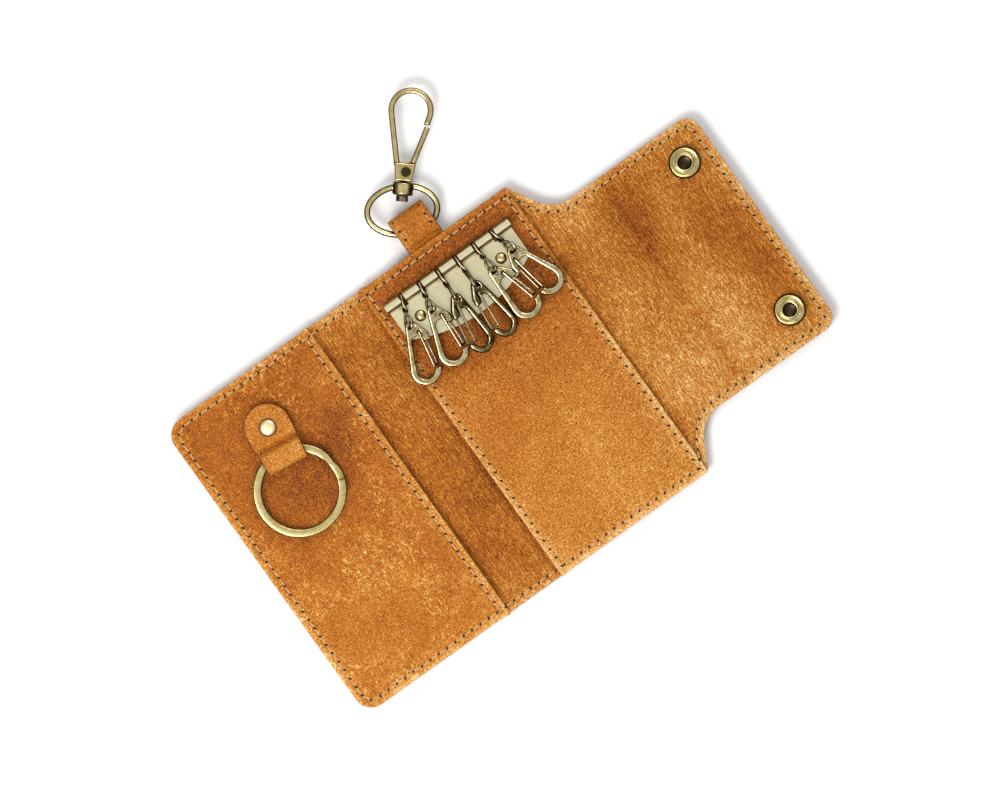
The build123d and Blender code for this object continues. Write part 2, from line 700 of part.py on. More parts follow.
def clip_spring():
    """Coil round the gate pin beside the gate's foot, with one straight leg."""
    coil = Pos(*CLIP_PIVOT) * (Circle(CLIP_SPRING_R) - Circle(CLIP_PIVOT_R + 0.05))
    leg = Pos(CLIP_PIVOT[0] - 0.9, CLIP_PIVOT[1] + 1.2) * Rectangle(0.4, 1.6)
    low = -CLIP_SLOT / 2 + 0.02
    return prism(coil + leg, low, low + CLIP_SPRING_T)


def swivel_clip():
    frame = clip_frame()
    save("clip_ring", clip_ring())
    shaft = along_y(PIN_R, -COLLAR_L / 2 - 0.05, BLOCK_Y1 + 1)
    head_top = -COLLAR_L / 2 - 0.05
    head = along_y(PIN_HEAD_R, head_top - PIN_HEAD_L, head_top)
    save("clip_swivel_pin", frame * (shaft + head))
    save("clip_hook", frame * clip_hook())
    save("clip_gate", frame * clip_gate())
    save("clip_gate_pin", frame * clip_gate_pin())
    save("clip_gate_spring", frame * clip_spring())
    pivot = frame * Pos(*CLIP_PIVOT, 0)
    print("clip axis", Plane(frame).y_dir, "gate pivot", pivot.position)


outline = body_outline()
leather_panels(outline)
pockets(outline)
snaps()
key_ring()
hook_rail()
key_hooks()
clip_strap()
swivel_clip()
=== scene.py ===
import json
import math

import bpy
import numpy as np
from mathutils import Matrix, Vector

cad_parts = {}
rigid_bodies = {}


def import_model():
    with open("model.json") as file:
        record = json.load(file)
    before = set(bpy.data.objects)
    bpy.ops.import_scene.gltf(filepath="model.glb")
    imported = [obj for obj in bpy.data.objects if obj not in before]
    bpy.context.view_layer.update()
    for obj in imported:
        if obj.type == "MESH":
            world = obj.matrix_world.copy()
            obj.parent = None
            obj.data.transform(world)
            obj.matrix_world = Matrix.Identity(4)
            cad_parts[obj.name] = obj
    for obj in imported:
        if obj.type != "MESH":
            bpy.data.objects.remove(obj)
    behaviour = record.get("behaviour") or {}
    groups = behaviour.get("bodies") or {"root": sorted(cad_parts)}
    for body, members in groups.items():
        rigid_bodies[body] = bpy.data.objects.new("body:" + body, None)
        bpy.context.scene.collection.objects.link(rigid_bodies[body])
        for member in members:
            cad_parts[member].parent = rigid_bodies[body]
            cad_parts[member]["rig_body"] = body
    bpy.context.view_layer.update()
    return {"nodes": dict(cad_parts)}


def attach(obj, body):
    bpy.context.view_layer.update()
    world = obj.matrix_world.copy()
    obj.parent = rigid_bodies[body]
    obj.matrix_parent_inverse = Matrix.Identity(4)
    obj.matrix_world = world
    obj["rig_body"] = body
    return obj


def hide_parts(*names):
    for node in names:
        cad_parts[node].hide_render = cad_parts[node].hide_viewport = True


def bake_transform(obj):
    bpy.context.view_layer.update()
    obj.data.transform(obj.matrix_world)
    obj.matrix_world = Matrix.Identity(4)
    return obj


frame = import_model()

# Lengths are in millimetres until a mesh is made; MM turns them into metres.
MM = 0.001
NODES = frame["nodes"]

# ---------------------------------------------------------------- sizes shared with the part
COVER_T = 1.2
INNER_Z = 2.2
POCKET_TOP = 3.4
LEFT_X = -105.7
RIGHT_X = 90.8
HALF_Y = 56.0
FLAP_Y = 41.0
SHOULDER_X = 28.8
NECK_X = 37.1
CORNER_R = 6.0
FLAP_CORNER_R = 5.0
SHOULDER_R = 1.5
NECK_R = 11.0
FOLDS = (-47.9, -29.1, 30.0, 55.1)
FOLD_REACH = (1.6, 2.6, 3.0, 5.0)
CARD_EDGE_X = -49.2
CENTRE_EDGE_X = 28.8
CARD_SEAM_X = -51.5
CENTRE_SEAM_X = 27.0
SLOT_H = 0.9
PAD_MARGIN = 3.2
CENTRE_PAD_Y = 12.5
SNAP_X = 80.1
SNAP_Y = 29.0
TAB_RIVET = (-78.0, 37.4)
TAB_LEAN = math.radians(-6.66)
TAB_R = 7.7
TAB_END_HALF = 6.85
TAB_LENGTH = 14.0
RING_CENTRE = (-81.4, 15.0)
RING_MID_Z = 6.75
RING_OUTER = 15.0
RING_BAND = 2.6
RING_COIL_T = 1.15
RING_TILT = math.radians(2.0)
STRAP_X = (-8.8, 4.4)
STRAP_MID_Z = 2.6
FLOOR_Z = -2.65
# Each link runs from its slot on the rail's rod to the rim of its hook's eye.
ROD_X = -18.97
ROD_PITCH = 7.15
ROD_YZ = (46.15, 5.4)
LINK_HOLDS = (
    (-21.9, 38.32, 7.01),
    (-13.1, 38.52, 7.01),
    (-4.9, 37.22, 7.58),
    (2.8, 37.03, 7.48),
    (10.2, 37.32, 7.01),
    (18.9, 39.22, 7.01),
)

STEP = 0.6
# Distances from a real edge at which a sheet has points: its rounding, then the seam.
RIM = (0, 0.07, 0.18, 0.34, 0.56, 0.9, 1.4, 1.9, 2.2, 2.5, 2.8, 3.1, 3.6)


# ---------------------------------------------------------------- noise and plane geometry
LATTICE = (61, 67)
OCTAVES = 3


def lattice(x, y, seed):
    """Smooth value noise on a unit lattice, from -0.5 to 0.5."""
    table = np.random.default_rng(seed).random(LATTICE)
    xi, yi = np.floor(x).astype(int), np.floor(y).astype(int)
    fx, fy = x - xi, y - yi
    fx, fy = fx * fx * (3 - 2 * fx), fy * fy * (3 - 2 * fy)

    def corner(dx, dy):
        return table[(xi + dx) % LATTICE[0], (yi + dy) % LATTICE[1]]

    low = corner(0, 0) * (1 - fx) + corner(1, 0) * fx
    high = corner(0, 1) * (1 - fx) + corner(1, 1) * fx
    return low * (1 - fy) + high * fy - 0.5


def fractal(x, y, size_x, size_y, seed):
    """Sum of finer and weaker noises; its largest waves are size_x by size_y."""
    total, weight, share = 0.0, 0.0, 1.0
    for k in range(OCTAVES):
        total = total + share * lattice(x / size_x * 2**k, y / size_y * 2**k, seed + 7 * k)
        weight += share
        share *= 0.5
    return total / weight


def smooth(edge0, edge1, value):
    """Eased step from 0 at edge0 to 1 at edge1."""
    t = np.clip((value - edge0) / (edge1 - edge0), 0, 1)
    return t * t * (3 - 2 * t)


def unit(vectors):
    return vectors / np.linalg.norm(vectors, axis=1, keepdims=True)


def around(count):
    """Evenly spaced angles of one full turn."""
    return np.linspace(0, 2 * math.pi, count, endpoint=False)


ARC_STEP = 0.35
SEAM_INSET = 2.5


def bump_at(x, y, cx, cy, rx, ry):
    """Soft patch of height 1 around a centre."""
    return np.exp(-(((x - cx) / rx) ** 2) - ((y - cy) / ry) ** 2)


def rounded(corners):
    """Closed outline through corners given as (x, y, radius)."""
    out = []
    count = len(corners)
    for i, (x, y, radius) in enumerate(corners):
        p = np.array((x, y), float)
        a = np.array(corners[i - 1][:2]) - p
        b = np.array(corners[(i + 1) % count][:2]) - p
        a, b = a / np.linalg.norm(a), b / np.linalg.norm(b)
        half = math.acos(float(a @ b)) / 2
        middle = (a + b) / np.linalg.norm(a + b)
        centre = p + middle * radius / math.sin(half)
        start = p + a * radius / math.tan(half) - centre
        end = p + b * radius / math.tan(half) - centre
        t0, t1 = math.atan2(start[1], start[0]), math.atan2(end[1], end[0])
        turn = (t1 - t0 + math.pi) % (2 * math.pi) - math.pi
        for t in np.linspace(0, 1, max(4, int(abs(turn) * radius / ARC_STEP) + 2)):
            angle = t0 + turn * t
            out.append(centre + radius * np.array((math.cos(angle), math.sin(angle))))
    return np.array(out)


def body_corners(inset=0.0):
    """Corners of the open leather, or of a line at an even inset from its edge."""
    diagonal = math.hypot(NECK_X - SHOULDER_X, HALF_Y - FLAP_Y)
    slope = (HALF_Y - FLAP_Y) / diagonal
    run = (NECK_X - SHOULDER_X) / diagonal
    shift = inset * (1 - run) / slope
    lower = [
        (LEFT_X + inset, -HALF_Y + inset, CORNER_R - inset),
        (SHOULDER_X - shift, -HALF_Y + inset, max(SHOULDER_R - inset, 0.3)),
        (NECK_X - shift, -FLAP_Y + inset, NECK_R + inset),
        (RIGHT_X - inset, -FLAP_Y + inset, FLAP_CORNER_R - inset),
    ]
    return lower + [(x, -y, r) for x, y, r in reversed(lower)]


OUTLINE = rounded(body_corners())
PERIMETER = rounded(body_corners(SEAM_INSET))
UPPER = OUTLINE[OUTLINE[:, 1] > 0]
UPPER = UPPER[np.argsort(UPPER[:, 0], kind="stable")]


def reach_y(x):
    """Half the width of the leather at x."""
    return np.interp(x, UPPER[:, 0], UPPER[:, 1])


def distance_to(x, y, line, closed=True):
    """Distance from points to a line of points."""
    best = np.full(x.shape, 1e9)
    ends = np.roll(line, -1, axis=0) if closed else line[1:]
    for (ax, ay), (bx, by) in zip(line, ends):
        dx, dy = bx - ax, by - ay
        length = dx * dx + dy * dy
        if length < 1e-12:
            continue
        t = np.clip(((x - ax) * dx + (y - ay) * dy) / length, 0, 1)
        best = np.minimum(best, (x - ax - t * dx) ** 2 + (y - ay - t * dy) ** 2)
    return np.sqrt(best)


# ---------------------------------------------------------------- meshes
def placed(name, data):
    obj = bpy.data.objects.new(name, data)
    bpy.context.scene.collection.objects.link(obj)
    return obj


def build(name, verts, faces, materials, face_material=None, tone=None):
    """Mesh object from millimetre points, with its place at rest stored for the leather."""
    mesh = bpy.data.meshes.new(name)
    verts = np.asarray(verts, float).reshape(-1, 3)
    faces = faces.tolist() if isinstance(faces, np.ndarray) else faces
    mesh.from_pydata((verts * MM).tolist(), [], faces)
    for material in materials:
        mesh.materials.append(material)
    if face_material is not None:
        mesh.polygons.foreach_set("material_index", np.asarray(face_material, np.int32))
    mesh.polygons.foreach_set("use_smooth", np.full(len(faces), True))
    rest = mesh.attributes.new("rest", "FLOAT_VECTOR", "POINT")
    rest.data.foreach_set("vector", verts.astype(np.float32).ravel())
    tones = np.zeros(len(verts)) if tone is None else np.broadcast_to(tone, (len(verts),))
    shade = mesh.attributes.new("tone", "FLOAT", "POINT")
    shade.data.foreach_set("value", tones.astype(np.float32))
    mesh.update()
    return placed(name, mesh)


def ring_faces(rows, count):
    """Quads between rows of points that close on themselves."""
    i, j = np.meshgrid(np.arange(rows - 1), np.arange(count), indexing="ij")
    k = (j + 1) % count
    quads = [i * count + j, i * count + k, (i + 1) * count + k, (i + 1) * count + j]
    return np.stack(quads, -1).reshape(-1, 4)


def grid_faces(rows, columns, offset=0, flip=False):
    """Quads between open rows of points."""
    i, j = np.meshgrid(np.arange(rows - 1), np.arange(columns - 1), indexing="ij")
    a = offset + i * columns + j
    quads = np.stack([a, a + columns, a + columns + 1, a + 1], -1).reshape(-1, 4)
    return quads[:, ::-1] if flip else quads


# Rounding of a cut edge, and how much of it the lower side has.
EDGE_R = 0.42
LOWER_SHARE = 0.7


def slab(name, columns, top, bottom, tone, materials, grow=None):
    """Leather sheet between two faces over the body's plan, with rounded edges.

    columns are x places; a first or last column that is a real edge is walled.
    """
    xs, wall_first, wall_last = columns
    rim = np.array(RIM)
    inner = np.linspace(0, 1, int(2 * HALF_Y / STEP) + 1)
    half = reach_y(xs)[:, None]
    if grow is not None:
        half = half + grow(xs)[:, None]
    span = half - rim[-1]
    ys = np.concatenate(
        [-half + rim[None, :-1], -span + 2 * span * inner[None], (half - rim[None, :-1])[:, ::-1]], 1
    )
    rows, count = ys.shape
    x = np.repeat(xs[:, None], count, 1)
    edge = distance_to(x, ys, OUTLINE)
    if wall_first:
        edge = np.minimum(edge, np.abs(x - xs[0]))
    if wall_last:
        edge = np.minimum(edge, np.abs(x - xs[-1]))
    inside = half - np.abs(ys) > -1e-6
    edge = np.where(inside, edge, 0)
    if grow is not None:
        edge = np.minimum(edge, half - np.abs(ys))
    drop = EDGE_R - np.sqrt(np.maximum(EDGE_R**2 - np.maximum(EDGE_R - edge, 0) ** 2, 0))
    z_top = top(x, ys) - drop
    z_low = bottom(x, ys) + drop * LOWER_SHARE
    shade = tone(x, ys, edge)
    verts = np.concatenate(
        [np.stack([x, ys, z_top], -1).reshape(-1, 3), np.stack([x, ys, z_low], -1).reshape(-1, 3)]
    )
    size = rows * count
    faces = [grid_faces(rows, count), grid_faces(rows, count, size, True)]
    kinds = [np.zeros(len(faces[0])), np.full(len(faces[1]), 2)]

    def wall(loop):
        loop = np.asarray(loop)
        strip = np.stack([loop[:-1], loop[1:], loop[1:] + size, loop[:-1] + size], -1)
        faces.append(strip)
        kinds.append(np.ones(len(strip)))

    index = np.arange(size).reshape(rows, count)
    wall(index[::-1, 0])
    wall(index[:, -1])
    if wall_first:
        wall(index[0, ::-1])
    if wall_last:
        wall(index[-1, :])
    faces = np.concatenate(faces)
    tones = np.concatenate([shade.ravel(), shade.ravel()])
    return build(name, verts, faces, materials, np.concatenate(kinds), tones)


# Width of the first strip beside a cut, and the least distance between two columns.
CUT_OVERLAP = 0.02
CLOSEST = 0.015


def spread(x1, x2, real_first=False, real_last=False, first_radius=0.0, last_radius=0.0):
    """Column places from x1 to x2: fine at real edges and rounded corners, even between."""
    arc = 1 - np.cos(np.linspace(0, math.pi / 2, 20))
    parts, ends = [], []
    for x, way, real, radius in ((x1, 1, real_first, first_radius), (x2, -1, real_last, last_radius)):
        if real:
            parts += [x + way * radius * arc, x + way * np.array(RIM)]
            ends.append(x + way * max(radius, RIM[-1]))
        else:
            parts.append(x + way * np.array((0, CUT_OVERLAP)))
            ends.append(x)
    low, high = ends
    parts.append(np.linspace(low, high, int((high - low) / STEP) + 2))
    xs = np.unique(np.round(np.concatenate(parts), 4))
    keep = np.concatenate([[True], np.diff(xs) > CLOSEST])
    xs = xs[keep]
    xs[-1] = x2
    return xs, real_first, real_last


# ---------------------------------------------------------------- seams
SEAM_END = HALF_Y - SEAM_INSET
SEAMS = [
    np.array(((x, -SEAM_END), (x, SEAM_END))) for x in (CARD_SEAM_X, -CENTRE_SEAM_X, CENTRE_SEAM_X)
]


def seam_distance(x, y):
    best = distance_to(x, y, PERIMETER)
    for line in SEAMS:
        best = np.minimum(best, distance_to(x, y, line, closed=False))
    return best


def seam_dip(x, y):
    """Thread pulls the leather in along each seam, and it swells a little beside it."""
    d = seam_distance(x, y)
    return -0.16 * np.exp(-((d / 0.55) ** 2)) + 0.07 * np.exp(-(((d - 1.6) / 0.9) ** 2))


# ---------------------------------------------------------------- surface of each layer
def fold_dip(x, y):
    """Hollow along each fold line, wandering a little."""
    dip = 0.0
    for fold, reach in zip(FOLDS, FOLD_REACH):
        wander = 0.5 * fractal(y, y * 0 + fold, 18, 9, 31)
        dip = dip - 0.32 * np.exp(-(((x - fold - wander) / (reach * 0.42)) ** 2))
    return dip


def lining_top(x, y):
    ripple = 0.10 * fractal(x, y, 2.4, 17, 11) + 0.07 * fractal(x + 0.25 * y, y, 4.5, 9, 12)
    flap = smooth(30, 36, x)
    spine = 0.16 * fractal(x, y, 9, 2.0, 13) * (1 - smooth(-31, -28, x))
    swell = 0.22 * fractal(x, y, 24, 30, 14)
    return INNER_Z + fold_dip(x, y) + flap * (ripple * 1.6 + swell) + spine + seam_dip(x, y)


def cover_low(x, y):
    low = 0.10 * fractal(x, y, 14, 11, 21) - seam_dip(x, y) - 0.4 * fold_dip(x, y)
    snap = np.hypot(x - SNAP_X, np.abs(y) - SNAP_Y)
    return 0.06 + (low - 0.06) * smooth(6.4, 8.4, snap)


def layer_line(x, y):
    return np.full(x.shape, COVER_T)


def card_pad(x, y):
    wobble = 0.5 * fractal(x, y, 16, 16, 41)
    side = smooth(PAD_MARGIN, PAD_MARGIN + 9 + wobble, x - LEFT_X)
    ends = smooth(PAD_MARGIN, PAD_MARGIN + 7 + wobble, HALF_Y - np.abs(y))
    return SLOT_H * side * ends


def card_top(x, y):
    ripple = 0.10 * fractal(x, y, 7, 9, 42) + 0.10 * fractal(x, y, 22, 26, 43)
    creases = 0.10 * fractal(x, y, 1.8, 11, 44) * bump_at(x, y, -60, 40, 9, 22)
    creases = creases + 0.12 * fractal(x, y, 2.4, 9, 45) * bump_at(x, y, -70, -12, 14, 24)
    return POCKET_TOP + card_pad(x, y) + ripple + creases + seam_dip(x, y)


def card_low(x, y):
    return INNER_Z + 0.04 + card_pad(x, y)


def centre_pad(x, y):
    side = smooth(PAD_MARGIN, PAD_MARGIN + 9, CENTRE_EDGE_X - x)
    low = smooth(PAD_MARGIN, PAD_MARGIN + 8, HALF_Y + y)
    high = smooth(CENTRE_PAD_Y, CENTRE_PAD_Y - 10.0, y)
    return SLOT_H * side * low * high


def centre_top(x, y):
    ripple = 0.08 * fractal(x, y, 8, 10, 52) + 0.12 * fractal(x, y, 24, 30, 53)
    calm = 1 - smooth(24, 28, y) * (1 - smooth(49, 52, y))
    return POCKET_TOP + centre_pad(x, y) + ripple * calm + seam_dip(x, y)


def centre_low(x, y):
    return INNER_Z + 0.04 + centre_pad(x, y)


def inside_top(x, y):
    """Upper face of whichever layer shows from inside."""
    z = lining_top(x, y)
    z = np.where(x < CARD_EDGE_X, card_top(x, y), z)
    return np.where(np.abs(x) < CENTRE_EDGE_X, centre_top(x, y), z)


# ---------------------------------------------------------------- tone of each layer
# Painted highlight: leather is painted lighter within a few millimetres of every cut edge, where its
# rounded edge catches the light.
def edge_painted_highlight(edge):
    return 0.16 * np.exp(-((edge / 1.5) ** 2)) + 0.07 * np.exp(-((edge / 4.0) ** 2))


def card_tone(x, y, edge):
    tone = 0.47 + 0.09 * smooth(20, -50, y) + edge_painted_highlight(edge)
    # Painted shadow: the first patch taken off on the next line, around -80, 15, lies under the split
    # ring.
    tone = tone - 0.14 * bump_at(x, y, -80, 15, 11, 12) - 0.10 * bump_at(x, y, -65, 25, 9, 16)
    tone = tone - 0.06 * bump_at(x, y, -80, 46, 16, 8) + 0.06 * bump_at(x, y, -72, -28, 14, 14)
    return tone


def lining_tone(x, y, edge):
    flap = 0.64 + edge_painted_highlight(edge)
    for cx, cy, rx, ry, amount in (
        (57, 22, 7, 16, -0.20),
        (74, 8, 6, 16, -0.15),
        (82, -6, 6, 18, -0.16),
        (34, 14, 4, 16, -0.05),
        (52, 30, 8, 9, -0.07),
        (42, -28, 10, 12, 0.13),
        (64, -26, 9, 14, 0.10),
        (66, 8, 5, 14, 0.06),
        (42, 36, 9, 8, 0.07),
        (73, -33, 9, 6, 0.05),
    ):
        flap = flap + amount * bump_at(x, y, cx, cy, rx, ry)
    spine = 0.53 + edge_painted_highlight(edge) + 0.10 * smooth(38, 52, y) + 0.08 * smooth(-38, -52, y)
    tone = np.where(x > 0, flap, spine)
    # Painted shade along each fold line, in the hollow that fold_dip makes.
    for fold in FOLDS:
        tone = tone - 0.07 * np.exp(-(((x - fold) / 1.5) ** 2))
    return tone


def centre_tone(x, y, edge):
    tone = 0.57 + 0.09 * smooth(10, -50, y) + edge_painted_highlight(edge)
    # Painted shade: darker upwards from y 8 to 22, where the hooks lie over the pocket, and a little
    # darker again near the top edge by the rail.
    tone = tone - 0.15 * smooth(8, 22, y) + 0.03 * bump_at(x, y, 0, -30, 16, 14)
    return tone - 0.05 * smooth(38, 50, y)


def cover_tone(x, y, edge):
    return 0.42 + 0.8 * edge_painted_highlight(edge) + 0.10 * fractal(x, y, 40, 36, 61)


# ---------------------------------------------------------------- materials
def srgb(red, green, blue):
    def linear(c):
        c = c / 255
        return c / 12.92 if c <= 0.04045 else ((c + 0.055) / 1.055) ** 2.4

    return (linear(red), linear(green), linear(blue), 1.0)


def set_stops(ramp, stops):
    while len(ramp.elements) < len(stops):
        ramp.elements.new(0.5)
    for element, (place, colour) in zip(ramp.elements, stops):
        element.position = place
        element.color = colour


class Tree:
    """Small helper that adds and links shader nodes."""

    def __init__(self, name):
        self.material = bpy.data.materials.new(name)
        self.material.use_nodes = True
        self.tree = self.material.node_tree
        self.shader = self.tree.nodes["Principled BSDF"]

    def add(self, kind, inputs=(), **settings):
        node = self.tree.nodes.new(kind)
        for key, value in settings.items():
            setattr(node, key, value)
        for key, value in dict(inputs).items():
            self.put(node.inputs[key], value)
        return node

    def put(self, socket, value):
        if isinstance(value, bpy.types.NodeSocket):
            self.tree.links.new(value, socket)
        else:
            socket.default_value = value

    def math(self, operation, a, b=0.0, clamp=False):
        node = self.add("ShaderNodeMath", operation=operation, use_clamp=clamp)
        self.put(node.inputs[0], a)
        self.put(node.inputs[1], b)
        return node.outputs[0]

    def noise(self, where, scale, detail=3.0, rough=0.55, distortion=0.0):
        sizes = {"Scale": scale, "Detail": detail, "Roughness": rough, "Distortion": distortion}
        return self.add("ShaderNodeTexNoise", {"Vector": where, **sizes}).outputs["Fac"]

    def cells(self, where, scale, feature="F1"):
        node = self.add("ShaderNodeTexVoronoi", {"Vector": where, "Scale": scale}, feature=feature)
        return node.outputs["Distance"]

    def ramp(self, factor, stops):
        node = self.add("ShaderNodeValToRGB", {"Fac": factor})
        set_stops(node.color_ramp, stops)
        return node.outputs["Color"]

    def mask(self, factor, low, high):
        node = self.add(
            "ShaderNodeMapRange",
            {"Value": factor, "From Min": low, "From Max": high},
            interpolation_type="SMOOTHSTEP",
        )
        return node.outputs["Result"]

    def stretch(self, where, x, y, z=1.0, turn=0.0):
        node = self.add("ShaderNodeMapping", {"Vector": where})
        node.inputs["Scale"].default_value = (x, y, z)
        node.inputs["Rotation"].default_value = (0, 0, turn)
        return node.outputs["Vector"]

    def rest(self):
        """Place of a point on the open case, in millimetres."""
        return self.add("ShaderNodeAttribute", attribute_name="rest").outputs["Vector"]

    def vary(self, value, factor, amount, clamp=False):
        """Value moved by up to half the amount either way, as the factor says."""
        shift = self.math("MULTIPLY", self.math("SUBTRACT", factor, 0.5), amount)
        return self.math("ADD", value, shift, clamp)

    def surface(self, colour, roughness):
        self.put(self.shader.inputs["Base Color"], colour)
        self.put(self.shader.inputs["Roughness"], roughness)

    def bump(self, height, strength, distance):
        sizes = {"Strength": strength, "Distance": distance}
        node = self.add("ShaderNodeBump", {"Height": height, **sizes})
        self.put(self.shader.inputs["Normal"], node.outputs["Normal"])


# Tan from the darkest tone, painted into the pores as shade, to the palest pull marks.
TAN_STOPS = (
    (0.00, srgb(40, 15, 2)),
    (0.20, srgb(104, 48, 6)),
    (0.40, srgb(156, 80, 10)),
    (0.60, srgb(184, 108, 24)),
    (0.80, srgb(214, 150, 66)),
    (1.00, srgb(246, 208, 150)),
)


def leather(name, grain, veins, creases, mottle, offset=0.0):
    """Waxed pull-up leather: mottled tan with pores, pale pull marks and fine creases."""
    t = Tree(name)
    rest = t.rest()
    tone = t.add("ShaderNodeAttribute", attribute_name="tone").outputs["Fac"]
    large = t.noise(rest, 0.045, 5.0, 0.6, 0.4)
    medium = t.noise(rest, 0.22, 4.0, 0.65)
    speckle = t.noise(rest, 1.9, 3.0, 0.8)
    drift = t.add("ShaderNodeTexNoise", {"Vector": rest, "Scale": 0.28, "Detail": 3.0})
    warp = t.add("ShaderNodeVectorMath", {0: drift.outputs["Color"]}, operation="SCALE")
    warp.inputs["Scale"].default_value = 7.0
    bent = t.add("ShaderNodeVectorMath", {0: rest, 1: warp.outputs[0]}, operation="ADD").outputs[0]
    vein_far = t.cells(t.stretch(bent, 1.0, 0.55), 0.30, "DISTANCE_TO_EDGE")
    vein_near = t.cells(t.stretch(bent, 1.0, 0.6, 1.0, 0.7), 0.62, "DISTANCE_TO_EDGE")
    vein_place = t.mask(t.noise(rest, 0.06, 3.0, 0.6), 0.40, 0.62)
    vein = t.math("SUBTRACT", 1.0, t.mask(vein_far, 0.0, 0.10))
    fine = t.math("SUBTRACT", 1.0, t.mask(vein_near, 0.0, 0.12))
    broken = t.mask(t.noise(rest, 0.55, 2.0, 0.6), 0.38, 0.60)
    vein = t.math("MULTIPLY", t.math("MAXIMUM", vein, t.math("MULTIPLY", fine, 0.7)), broken)
    vein = t.math("MULTIPLY", vein, vein_place)
    crease = t.mask(t.noise(t.stretch(rest, 1.5, 0.36), 1.0, 3.0, 0.6), 0.36, 0.66)
    pores = t.cells(rest, 1.75, "SMOOTH_F1")
    pebble = t.cells(bent, 1.05, "F1")

    value = t.vary(tone, large, mottle * 2.2)
    value = t.vary(value, medium, mottle * 1.5)
    # The speckle, crease and pore tones follow noises that also drive the bump below: partly the
    # leather's own mottle, partly painted highlight on the rises and painted shade in the dips and
    # pores.
    value = t.vary(value, speckle, 1.55)
    value = t.vary(value, crease, 0.26 * creases)
    value = t.math("SUBTRACT", value, t.math("MULTIPLY", t.mask(pores, 0.34, 0.06), 0.34 * grain))
    value = t.math("ADD", value, t.math("MULTIPLY", vein, 0.30 * veins))
    value = t.math("ADD", value, offset, clamp=True)
    t.surface(t.ramp(value, TAN_STOPS), t.math("ADD", 0.46, t.math("MULTIPLY", medium, 0.22)))
    t.shader.inputs["Specular IOR Level"].default_value = 0.22
    height = t.math("MULTIPLY", pores, 0.8 * grain)
    shares = ((pebble, 0.5 * grain), (crease, creases), (vein, -0.35 * veins), (speckle, 0.8))
    for relief, share in shares:
        height = t.math("ADD", height, t.math("MULTIPLY", relief, share))
    t.bump(height, 0.9, 0.00042)
    return t.material


def mottled(name, stops, roughness, scale, detail, grit, relief=None):
    """Tones spread by one noise, which is also the relief where there is any."""
    t = Tree(name)
    wear = t.noise(t.rest(), scale, detail, grit)
    t.surface(t.ramp(wear, stops), roughness)
    if relief:
        t.bump(wear, *relief)
    return t.material


# How strongly the fine score marks show on metal.
SCRATCH = 0.5


def metal(name, bright, body, shadow, rough, patina, side, brush=0.0):
    """Antiqued metal with painted light and shade: faces are painted darker the further they turn
    from straight up (painted shade on the side walls), occluded hollows and contacts are painted dark
    (painted shade, partly patina in the pits), and faces turned straight up keep the lighter body
    colour.
    """
    t = Tree(name)
    coords = t.add("ShaderNodeTexCoord")
    where, normal = coords.outputs["Object"], coords.outputs["Normal"]
    facing = t.math("ABSOLUTE", t.add("ShaderNodeSeparateXYZ", {0: normal}).outputs["Z"])
    hollow = t.add("ShaderNodeAmbientOcclusion", {"Distance": 0.0018}, samples=4).outputs["AO"]
    patches = t.noise(where, 420.0, 4.0, 0.65)
    fine = t.noise(where, 2600.0, 3.0, 0.7)
    brushed = t.noise(t.stretch(where, 1500.0, 9000.0, 1500.0), 1.0, 2.0, 0.6)
    scores = t.noise(t.stretch(where, 5200.0, 900.0, 3000.0, 0.5), 1.0, 2.0, 0.7)
    # Painted light: lit is 1 on open faces turned straight up and lower on side walls and in occluded
    # hollows and contacts, which value then paints darker.
    lit = t.math("MULTIPLY", t.mask(facing, 0.58, 0.97), t.mask(hollow, 0.35, 0.98))
    value = t.math("MULTIPLY", t.math("SUBTRACT", 1.0, lit), -0.62 * side)
    value = t.math("ADD", value, 0.66)
    value = t.vary(value, patches, patina)
    value = t.vary(value, fine, 0.45 * patina)
    value = t.vary(value, brushed, brush)
    value = t.vary(value, scores, 0.2 * SCRATCH, clamp=True)
    colour = t.ramp(value, ((0.05, shadow), (0.45, body), (0.85, bright)))
    roughness = t.math("ADD", rough, t.math("MULTIPLY", t.math("SUBTRACT", 0.6, value), 0.30), True)
    t.surface(colour, roughness)
    t.shader.inputs["Metallic"].default_value = 1.0
    t.bump(t.math("ADD", patches, t.math("MULTIPLY", scores, SCRATCH)), 0.35, 0.00006)
    return t.material


# Painted shade: near-black colour for the needle holes, standing for the shade inside them.
def needle_hole_shade(colour):
    t = Tree("needle_hole_shade")
    grain = t.add("ShaderNodeTexNoise", {"Scale": 900.0, "Detail": 2.0}).outputs["Fac"]
    darker = tuple(c * 0.6 for c in colour[:3]) + (1.0,)
    t.surface(t.ramp(grain, ((0.35, darker), (0.65, colour))), 0.8)
    return t.material


LEATHER_CARD = leather("leather_card_pocket", grain=0.7, veins=1.1, creases=0.35, mottle=0.15)
LEATHER_CENTRE = leather("leather_centre_pocket", grain=1.0, veins=0.35, creases=0.25, mottle=0.10)
LEATHER_LINING = leather("leather_lining", grain=0.9, veins=0.25, creases=0.8, mottle=0.17)
LEATHER_COVER = leather("leather_cover", grain=0.8, veins=0.8, creases=0.3, mottle=0.16)
LEATHER_SMALL = leather("leather_tab", grain=0.8, veins=0.2, creases=0.2, mottle=0.08, offset=0.06)
# The cut edge is sealed with dark brown paint; the flesh side has a nap.
EDGE_TONES = ((0.3, srgb(70, 34, 12)), (0.55, srgb(112, 62, 22)), (0.8, srgb(168, 104, 44)))
EDGE = mottled("edge_paint", EDGE_TONES, 0.45, 0.9, 4.0, 0.6, relief=(0.4, 0.0001))
FLESH_TONES = ((0.3, srgb(120, 78, 42)), (0.7, srgb(176, 128, 78)))
FLESH = mottled("flesh_side", FLESH_TONES, 0.9, 1.6, 5.0, 0.7, relief=(0.7, 0.0002))
THREAD_TONES = ((0.3, srgb(140, 96, 40)), (0.7, srgb(240, 200, 130)))
THREAD = mottled("waxed_thread", THREAD_TONES, 0.6, 3.4, 2.0, 0.6)
HOLE = needle_hole_shade(srgb(26, 15, 6))
